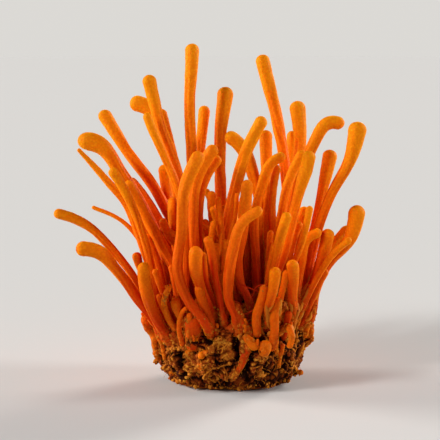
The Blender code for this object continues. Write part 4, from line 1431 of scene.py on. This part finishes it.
def random_spots(skin, count, chance, wanted):
    """Random spots of a skin with their normals, more of them where wanted() is high."""
    found = []
    while len(found) < count:
        middle, normal = skin[chance.randrange(len(skin))]
        if chance.random() < wanted(middle, normal):
            found.append((middle, normal))
    return found


def low_skin_tree(top):
    """A tree of the crust and of the stems below a height, for what climbs from one to the other."""
    verts, faces = [], []
    for name in ["mycelium_crust", *(f"{club}_skin" for club in club_names())]:
        mesh = bpy.data.objects[name].data
        first = len(verts)
        places = np.empty(len(mesh.vertices) * 3)
        mesh.vertices.foreach_get("co", places)
        places = places.reshape(-1, 3) / MM
        low = places[:, 2] < top
        verts.extend(places.tolist())
        for face in mesh.polygons:
            if all(low[index] for index in face.vertices):
                faces.append([first + index for index in face.vertices])
    return BVHTree.FromPolygons(verts, faces)


def mycelium_piece(name, form, paint):
    """A finished piece of mycelium in its slot."""
    finished(name, form, paint)


def make_cords(form, tree, skin, kind, wanted, chance):
    """Thick threads that climb the stringy side of the crust from spots that are wanted."""

    def stringy(spot, normal):
        return 0.0 if spot.z < kind.low else stringiness(spot) * wanted(normal)

    for spot, normal in random_spots(skin, kind.count, chance, stringy):
        lean = (-kind.lean, kind.lean)
        heading = Vector((chance.uniform(*lean), chance.uniform(*lean), 1.0))
        radius = chance.uniform(*kind.radii)
        length = chance.uniform(*kind.lengths)
        line = crawl(tree, spot, heading, length, radius, kind.bend, chance, kind.pull)
        thread_skin(form, line, radius, chance.uniform(*kind.tones), CORD_SIDES, chance)


def make_threads(tree, skin, paint):
    """The cords and fine threads of mycelium that creep over the crust."""
    chance = random.Random(SEEDS["threads"])
    form = new_form("tone")

    def anywhere(spot, normal):
        return 0.0 if spot.z < 1.0 else 1.0

    def mostly_front(normal):
        return 1.0 if normal.y < CLIMBING_FRONT else CLIMBING_ELSEWHERE

    for spot, normal in random_spots(skin, THREADS, chance, anywhere):
        heading = Vector([chance.uniform(-1, 1) for _ in range(3)])
        radius = chance.choice(THREAD_RADII)
        line = crawl(tree, spot, heading, chance.uniform(*THREAD_LENGTHS), radius, THREAD_BEND, chance)
        thread_skin(form, line, radius, chance.random(), THREAD_SIDES, chance)
    make_cords(form, tree, skin, MAT_CORDS, lambda normal: 1.0, chance)
    make_cords(form, low_skin_tree(CLIMBING_TOP), skin, CLIMBING_CORDS, mostly_front, chance)
    mycelium_piece("mycelium_threads", form, paint)


def make_fuzz(skin, paint):
    """Short fine hairs that stand off the crust."""
    chance = random.Random(SEEDS["fuzz"])
    form = new_form("tone")

    def off_the_cut(spot, normal):
        return 0.0 if spot.z < FUZZ_LOW else 1.0

    for spot, normal in random_spots(skin, FUZZ, chance, off_the_cut):
        sway = Vector([chance.uniform(-1, 1) for _ in range(3)])
        length = chance.uniform(*FUZZ_LENGTHS)
        middle = spot + normal * FUZZ_OUT * length + sway * FUZZ_SWAYS[0] * length
        end = middle + sway * FUZZ_SWAYS[1] * length - normal * FUZZ_DROOP * length
        line = curve_through([tuple(spot - normal * FUZZ_SUNK), tuple(middle), tuple(end)], FUZZ_STEP)
        radius, tone = chance.uniform(*FUZZ_RADII), chance.uniform(*FUZZ_TONES)
        thread_skin(form, line, radius, tone, FUZZ_SIDES, chance)
    mycelium_piece("mycelium_fuzz", form, paint)


def crumb(form, spot, normal, sizes, chance):
    """One rough crumb, a part of it sunk in what it lies on. Small ones are more likely than big ones."""
    least, more, rarity = sizes
    size = least + more * chance.random() ** rarity
    part = new_form("tone")
    tone = part.verts.layers.float["tone"]
    ball = bmesh.ops.create_uvsphere(part, u_segments=CRUMB_FACES, v_segments=CRUMB_FACES, radius=size)
    grain = ball["verts"]
    stretch = Vector([chance.uniform(*CRUMB_STRETCH) for _ in range(3)])
    bmesh.ops.scale(part, verts=grain, vec=stretch)
    shade = chance.random()
    for vert in grain:
        vert.co += vert.co * CRUMB_ROUGH * noise.noise(vert.co / size * CRUMB_ROUGH_FINE + spot * CRUMB_APART)
        vert[tone] = shade
    bmesh.ops.translate(part, verts=grain, vec=spot - normal * CRUMB_SINK * size)
    gather(form, part)


def foot_skin(feet):
    """The low faces of the clubs' skins, which crumbs climb, and how near the foot each is."""
    faces = []
    for club, (middle, _, _) in zip(club_names(), feet):
        climb = CRUMB_CLIMB * (1 + stringiness(middle))
        for face in bpy.data.objects[f"{club}_skin"].data.polygons:
            spot = face.center / MM
            if spot.z < middle.z + climb:
                faces.append((spot, face.normal.copy(), 1 - (spot.z - middle.z) / climb))
    return faces


def dusty_skin(name):
    """The dusty faces of some buds, and how dusty each is."""
    mesh = bpy.data.objects[name].data
    dust = mesh.attributes["dust"].data
    faces = []
    for face in mesh.polygons:
        share = dust[face.vertices[0]].value
        if share > BUD_CRUMBS_FROM:
            faces.append((face.center / MM, face.normal.copy(), share))
    return faces


def make_crumbs(skin, feet, paint):
    """Loose-looking crumbs and grains that stick to the crust, to the stems' feet and to the buds."""
    chance = random.Random(SEEDS["crumbs"])
    form = new_form("tone")

    def patchy(spot, normal):
        if spot.z < CRUMB_LOW:
            return 0.0
        least, middle, patches = CRUMB_CHANCE
        return max(least, middle + patches * noise.noise(spot / CRUMB_PATCH))

    def low_edge(spot, normal):
        low, high = RIM_CRUMB_HEIGHTS
        return 1.0 if low < spot.z < high and normal.z > RIM_CRUMB_SLOPE else 0.0

    def climbing(spot, share):
        least, middle, patches = CLIMBING_CHANCE
        patch = max(least, middle + patches * noise.noise(spot / CLIMBING_PATCH))
        return share**CLIMBING_FADE * patch

    def dusty(spot, share):
        return share

    for spot, normal in random_spots(skin, CRUMBS, chance, patchy):
        crumb(form, spot, normal, CRUMB_SIZES, chance)
    for spot, normal in random_spots(skin, RIM_CRUMBS, chance, low_edge):
        crumb(form, spot, normal, RIM_CRUMB_SIZES, chance)
    buds = dusty_skin("buds_and_stubs") + dusty_skin("nodules")
    feet_and_buds = (
        (foot_skin(feet), FOOT_CRUMBS, FOOT_CRUMB_SIZES, climbing),
        (buds, BUD_CRUMBS, BUD_CRUMB_SIZES, dusty),
    )
    for faces, tries, sizes, wanted in feet_and_buds:
        for _ in range(tries):
            spot, normal, share = faces[chance.randrange(len(faces))]
            if chance.random() < wanted(spot, share):
                crumb(form, spot, normal, sizes, chance)
    mycelium_piece("mycelium_crumbs", form, paint)


def make_fibres(paint):
    """The thin red fibres that are stretched between the stems."""
    chance = random.Random(SEEDS["fibres"])
    form = new_form("tone")
    near = low_skin_tree(FIBRE_TOP)
    for path, depth in FIBRES:
        points = [place(across, up, depth) for across, up in path]
        points[0] = near.find_nearest(points[0])[0]
        points[-1] = near.find_nearest(points[-1])[0]
        line = curve_through([tuple(point) for point in points], FIBRE_STEP)
        thread_skin(form, line, FIBRE_RADIUS, chance.random(), THREAD_SIDES, chance)
    finished("red_fibres", form, paint)


# ---------------------------------------------------------------------------- finishes


def socket_group(name, inputs, outputs):
    """An empty shader group with named sockets, and its input and output nodes."""
    group = bpy.data.node_groups.new(name, "ShaderNodeTree")
    for label, kind in inputs:
        group.interface.new_socket(label, in_out="INPUT", socket_type=kind)
    for label, kind in outputs:
        group.interface.new_socket(label, in_out="OUTPUT", socket_type=kind)
    return group, group.nodes.new("NodeGroupInput"), group.nodes.new("NodeGroupOutput")


def fill_socket(tree, socket, value):
    """Link a socket to another one, or give it a plain value."""
    if isinstance(value, bpy.types.NodeSocket):
        tree.links.new(value, socket)
    else:
        socket.default_value = value


def noise_value(tree, kind, coords):
    """A noise texture's value, for features of about a size in millimetres."""
    size_mm, detail, rough = kind
    node = tree.nodes.new("ShaderNodeTexNoise")
    node.inputs["Scale"].default_value = 1.0 / (size_mm * MM)
    node.inputs["Detail"].default_value = detail
    node.inputs["Roughness"].default_value = rough
    tree.links.new(coords, node.inputs["Vector"])
    return node.outputs["Fac"]


def dots_value(tree, size_mm, coords):
    """The distance from the middle of the nearest of many small dots."""
    cells = tree.nodes.new("ShaderNodeTexVoronoi")
    cells.inputs["Scale"].default_value = 1.0 / (size_mm * MM)
    tree.links.new(coords, cells.inputs["Vector"])
    return cells.outputs["Distance"]


def mixed(tree, factor, first, second):
    """A colour mix of two sockets or colours."""
    node = tree.nodes.new("ShaderNodeMix")
    node.data_type = "RGBA"
    for number, value in ((0, factor), (6, first), (7, second)):
        fill_socket(tree, node.inputs[number], value)
    return node.outputs[2]


def ramp(tree, value, limits):
    """A value's smooth rise from 0 to 1 between two limits."""
    node = tree.nodes.new("ShaderNodeMapRange")
    node.interpolation_type = "SMOOTHSTEP"
    node.inputs["From Min"].default_value, node.inputs["From Max"].default_value = limits
    tree.links.new(value, node.inputs["Value"])
    return node.outputs["Result"]


def worked_out(tree, operation, *values):
    """What a sum makes of some sockets or numbers."""
    node = tree.nodes.new("ShaderNodeMath")
    node.operation = operation
    for socket, value in zip(node.inputs, values):
        fill_socket(tree, socket, value)
    return node.outputs[0]


def mark(tree, name):
    """A value that a mesh carries at its points."""
    node = tree.nodes.new("ShaderNodeAttribute")
    node.attribute_name = name
    return node.outputs["Fac"]


def object_place(tree):
    """Where a point is on its object."""
    return tree.nodes.new("ShaderNodeTexCoord").outputs["Object"]


def mottle_group():
    """Cloudy patches and fine specks over a colour."""
    colours = ("Color", "Patch Color", "Speck Color")
    group, given, result = socket_group(
        "mottle", [(name, "NodeSocketColor") for name in colours], [("Color", "NodeSocketColor")]
    )
    coords = object_place(group)
    patches = ramp(group, noise_value(group, CLOUD_NOISE, coords), PATCHES)
    patched = mixed(group, patches, given.outputs["Color"], given.outputs["Patch Color"])
    dots = ramp(group, noise_value(group, SPECK_NOISE, coords), SPECKS)
    specks = worked_out(group, "MULTIPLY", dots, SPECK_SHARE)
    speckled = mixed(group, specks, patched, given.outputs["Speck Color"])
    group.links.new(speckled, result.inputs["Color"])
    return group


def velvet_height_group():
    """The height of a matt skin: small round dots over soft dimples, with a fine grain."""
    group, _, result = socket_group("velvet_height", [], [("Height", "NodeSocketFloat")])
    coords = object_place(group)
    fine = worked_out(group, "MULTIPLY", noise_value(group, VELVET_FINE, coords), VELVET_FINE_SHARE)
    both = worked_out(group, "ADD", fine, noise_value(group, VELVET_SOFT, coords))
    dots = worked_out(group, "MULTIPLY", dots_value(group, DOT_SIZE, coords), VELVET_DOTS)
    group.links.new(worked_out(group, "ADD", both, dots), result.inputs["Height"])
    return group


def crumb_height_group():
    """The height of a crumbly skin: broken cells with grit on them."""
    group, _, result = socket_group("crumb_height", [], [("Height", "NodeSocketFloat")])
    coords = object_place(group)
    cells = worked_out(group, "MULTIPLY", dots_value(group, CRUMB_CELLS, coords), CRUMB_CELL_SHARE)
    grit = noise_value(group, CRUMB_GRIT, coords)
    group.links.new(worked_out(group, "SUBTRACT", grit, cells), result.inputs["Height"])
    return group


def blank_material(name, plain):
    """A material with nodes, its tree and its shader, whose plain values are set."""
    made = bpy.data.materials.new(name)
    made.use_nodes = True
    shader = made.node_tree.nodes["Principled BSDF"]
    for socket, value in plain.items():
        shader.inputs[socket].default_value = value
    return made, made.node_tree, shader


def mottled(tree, groups, colour, patch, speck):
    """A colour with the mottle group's patches and specks."""
    node = tree.nodes.new("ShaderNodeGroup")
    node.node_tree = groups["mottle"]
    for name, value in (("Color", colour), ("Patch Color", patch), ("Speck Color", speck)):
        tree.links.new(value, node.inputs[name])
    return node.outputs["Color"]


def add_bump(tree, shader, group, kind):
    """A bump on a shader from a height group, of a depth in millimetres and a strength."""
    height = tree.nodes.new("ShaderNodeGroup")
    height.node_tree = group
    bump = tree.nodes.new("ShaderNodeBump")
    bump.inputs["Distance"].default_value = kind[0] * MM
    bump.inputs["Strength"].default_value = kind[1]
    tree.links.new(height.outputs["Height"], bump.inputs["Height"])
    tree.links.new(bump.outputs["Normal"], shader.inputs["Normal"])


def grime(tree):
    """The colour of the dust at the feet of the stems: ochre, with bits of rust and straw."""
    bits = noise_value(tree, GRIME_NOISE, object_place(tree))
    ochre = mixed(tree, ramp(tree, bits, GRIME_RUST), CRUST_RUST, DUST_OCHRE)
    return mixed(tree, ramp(tree, bits, GRIME_STRAW), ochre, CRUST_STRAW)


def flesh_material(name, tip, middle, low, groups):
    """Velvety flesh: light at the tip, redder down the stem, dusted with ochre at the foot, darker and redder
    with painted shade in grooves, between dots, where stems crowd and inside the bunch.
    """
    made, tree, shader = blank_material(name, FLESH_LIGHT)
    upper = mixed(tree, ramp(tree, mark(tree, "along"), TIP_COMES), middle, tip)
    whole = mixed(tree, ramp(tree, mark(tree, "warm"), RED_COMES), upper, low)
    patch, speck = mixed(tree, RED_PATCH, whole, low), mixed(tree, TIP_SPECK, whole, tip)
    # Painted shade between the raised dots of the bump, added to the rest of the painted shade
    between = ramp(tree, dots_value(tree, DOT_SIZE, object_place(tree)), DOTS_PART)
    dot_shade = worked_out(tree, "MULTIPLY", between, DOT_SHARE)
    painted_shade = worked_out(tree, "MULTIPLY_ADD", mark(tree, "painted_shade"), PAINTED_SHADE_SHARE, dot_shade)
    shade_mixed = mixed(tree, painted_shade, mottled(tree, groups, whole, patch, speck), low)
    patchy = noise_value(tree, DUST_NOISE, object_place(tree))
    dust = worked_out(tree, "MULTIPLY", mark(tree, "dust"), ramp(tree, patchy, DUST_PATCHES))
    dusted = mixed(tree, worked_out(tree, "MULTIPLY", dust, DUST_SHARE), shade_mixed, grime(tree))
    tree.links.new(dusted, shader.inputs["Base Color"])
    least, more = FLESH_ROUGHNESS
    rough = worked_out(tree, "MULTIPLY_ADD", ramp(tree, patchy, ROUGH_PATCHES), more, least)
    tree.links.new(rough, shader.inputs["Roughness"])
    add_bump(tree, shader, groups["velvet_height"], FLESH_BUMP)
    return made


def crust_material(groups):
    """Crumbly mycelium: ochre and rust, straw that is partly its own colour and partly a painted highlight on
    the raised tops, painted shade near black in the cracks and hollows, red by the stems.
    """
    made, tree, shader = blank_material("mycelium_crust", CRUST_LIGHT)
    coords = object_place(tree)
    bits = noise_value(tree, CRUST_BITS, coords)
    rusty = ramp(tree, noise_value(tree, CRUST_CLOUD, coords), RUST_COMES)
    ground = mixed(tree, rusty, CRUST_OCHRE, CRUST_RUST)
    # Straw comes in only on the raised tops, away from the hollows: its own colour in patches, kept to the
    # tops as a painted highlight
    highlight_tops = ramp(tree, mark(tree, "hollow"), STRAW_HIGHLIGHT_TOPS)
    strawy = worked_out(tree, "MULTIPLY", ramp(tree, bits, STRAW_COMES), highlight_tops)
    straw = mixed(tree, strawy, ground, CRUST_STRAW)
    flesh = worked_out(tree, "MULTIPLY", mark(tree, "flesh"), FLESH_SHARE)
    fleshy = mixed(tree, flesh, straw, CROWN_RED)
    # Painted shade, near black, in the crust's hollows
    dark = worked_out(tree, "MULTIPLY", ramp(tree, mark(tree, "hollow"), DARK_COMES), DARK_SHARE)
    deep = mixed(tree, dark, fleshy, CREVICE_SHADE)
    cut_face = mixed(tree, ramp(tree, bits, CUT_STRAW), CRUST_OCHRE, CRUST_STRAW)
    whole = mixed(tree, mark(tree, "cut"), deep, cut_face)
    tree.links.new(whole, shader.inputs["Base Color"])
    add_bump(tree, shader, groups["crumb_height"], CRUST_BUMP)
    return made


def thread_material(name, dark, light, groups):
    """Mycelium threads, crumbs or fibres, each with a tone between two colours."""
    made, tree, shader = blank_material(name, THREAD_LIGHT)
    base = mixed(tree, mark(tree, "tone"), dark, light)
    patch, speck = (mixed(tree, THREAD_MOTTLE, base, colour) for colour in (dark, light))
    tree.links.new(mottled(tree, groups, base, patch, speck), shader.inputs["Base Color"])
    add_bump(tree, shader, groups["velvet_height"], THREAD_BUMP)
    return made


# ---------------------------------------------------------------------------- stage


def make_floor():
    """A plain pale floor."""
    form = bmesh.new()
    bmesh.ops.create_circle(form, cap_ends=True, segments=FLOOR_SIDES, radius=FLOOR_RADIUS)
    mesh = bpy.data.meshes.new("floor")
    form.to_mesh(mesh)
    form.free()
    mesh.materials.append(blank_material("floor", FLOOR_LIGHT)[0])
    floor = bpy.data.objects.new("floor", mesh)
    bpy.context.scene.collection.objects.link(floor)


def soft_sun(name, spot, strength, spread, colour):
    """A soft lamp that faces the middle of the bunch, as strong everywhere, so that the floor is even."""
    data = bpy.data.lights.new(name, "SUN")
    data.energy = strength
    data.angle = math.radians(spread)
    data.color = colour
    lamp = bpy.data.objects.new(name, data)
    lamp.location = spot
    aim = VIEW_AIM * MM - Vector(spot)
    lamp.rotation_euler = aim.to_track_quat("-Z", "Y").to_euler()
    bpy.context.scene.collection.objects.link(lamp)


def make_world():
    """Soft light from all round, and an even pale backdrop."""
    world = bpy.data.worlds.new("studio")
    world.use_nodes = True
    tree = world.node_tree
    light = tree.nodes["Background"]
    light.inputs["Color"].default_value = WORLD_GREY
    light.inputs["Strength"].default_value = WORLD_LIGHT
    seen = tree.nodes.new("ShaderNodeBackground")
    seen.inputs["Color"].default_value = BACKDROP
    path = tree.nodes.new("ShaderNodeLightPath")
    both = tree.nodes.new("ShaderNodeMixShader")
    tree.links.new(path.outputs["Is Camera Ray"], both.inputs[0])
    tree.links.new(light.outputs[0], both.inputs[1])
    tree.links.new(seen.outputs[0], both.inputs[2])
    tree.links.new(both.outputs[0], tree.nodes["World Output"].inputs["Surface"])
    bpy.context.scene.world = world


def make_lights():
    """Soft studio light: a key from the left, a fill from the right and a glow from both sides behind."""
    for name, lamp in LAMPS.items():
        soft_sun(name, *lamp)
    bpy.context.scene.view_settings.view_transform = "Standard"
    make_world()


# ---------------------------------------------------------------------------- all of it


def make_paints():
    """Every material of the bunch, by name."""
    groups = {
        "mottle": mottle_group(),
        "velvet_height": velvet_height_group(),
        "crumb_height": crumb_height_group(),
    }
    flesh = {
        "orange_flesh": (TIP_ORANGE, MID_ORANGE),
        # deep_orange_flesh is the painted-shade copy of the orange, pale_orange_flesh the painted-light copy
        "deep_orange_flesh": (FRONT_SHADED_TIP, FRONT_SHADED_MID),
        "pale_orange_flesh": (BACK_LIT_TIP, BACK_LIT_MID),
    }
    tones = {
        "mycelium_thread": (THREAD_OCHRE, THREAD_STRAW),
        "mycelium_crumb": (CRUST_RUST, CRUST_STRAW),
        "red_fibre": (LOW_RED, FIBRE_RED),
    }
    paints = {name: flesh_material(name, *pair, LOW_RED, groups) for name, pair in flesh.items()}
    paints["mycelium_crust"] = crust_material(groups)
    paints.update((name, thread_material(name, *pair, groups)) for name, pair in tones.items())
    return paints


def main():
    """Dress the clubs and the block, add what grows between and on them, and set the stage."""
    paints = make_paints()
    cad = welded("mycelium_base")
    cad_tree = BVHTree.FromBMesh(cad)
    cad.free()
    make_clubs(paints)
    feet = club_feet()
    crust_tree = make_crust(feet, paints["mycelium_crust"])
    crust = bpy.data.objects["mycelium_crust"].data
    skin = [(face.center / MM, face.normal.copy()) for face in crust.polygons]
    make_buds(cad_tree, paints)
    make_nodules(crust_tree, paints)
    make_ropes(paints)
    make_sprigs(crust_tree, paints)
    make_thin_stems(skin, feet, paints)
    make_threads(crust_tree, skin, paints["mycelium_thread"])
    make_fuzz(skin, paints["mycelium_thread"])
    make_crumbs(skin, feet, paints["mycelium_crumb"])
    make_fibres(paints["red_fibre"])
    make_floor()
    make_lights()
    make_camera()


main()
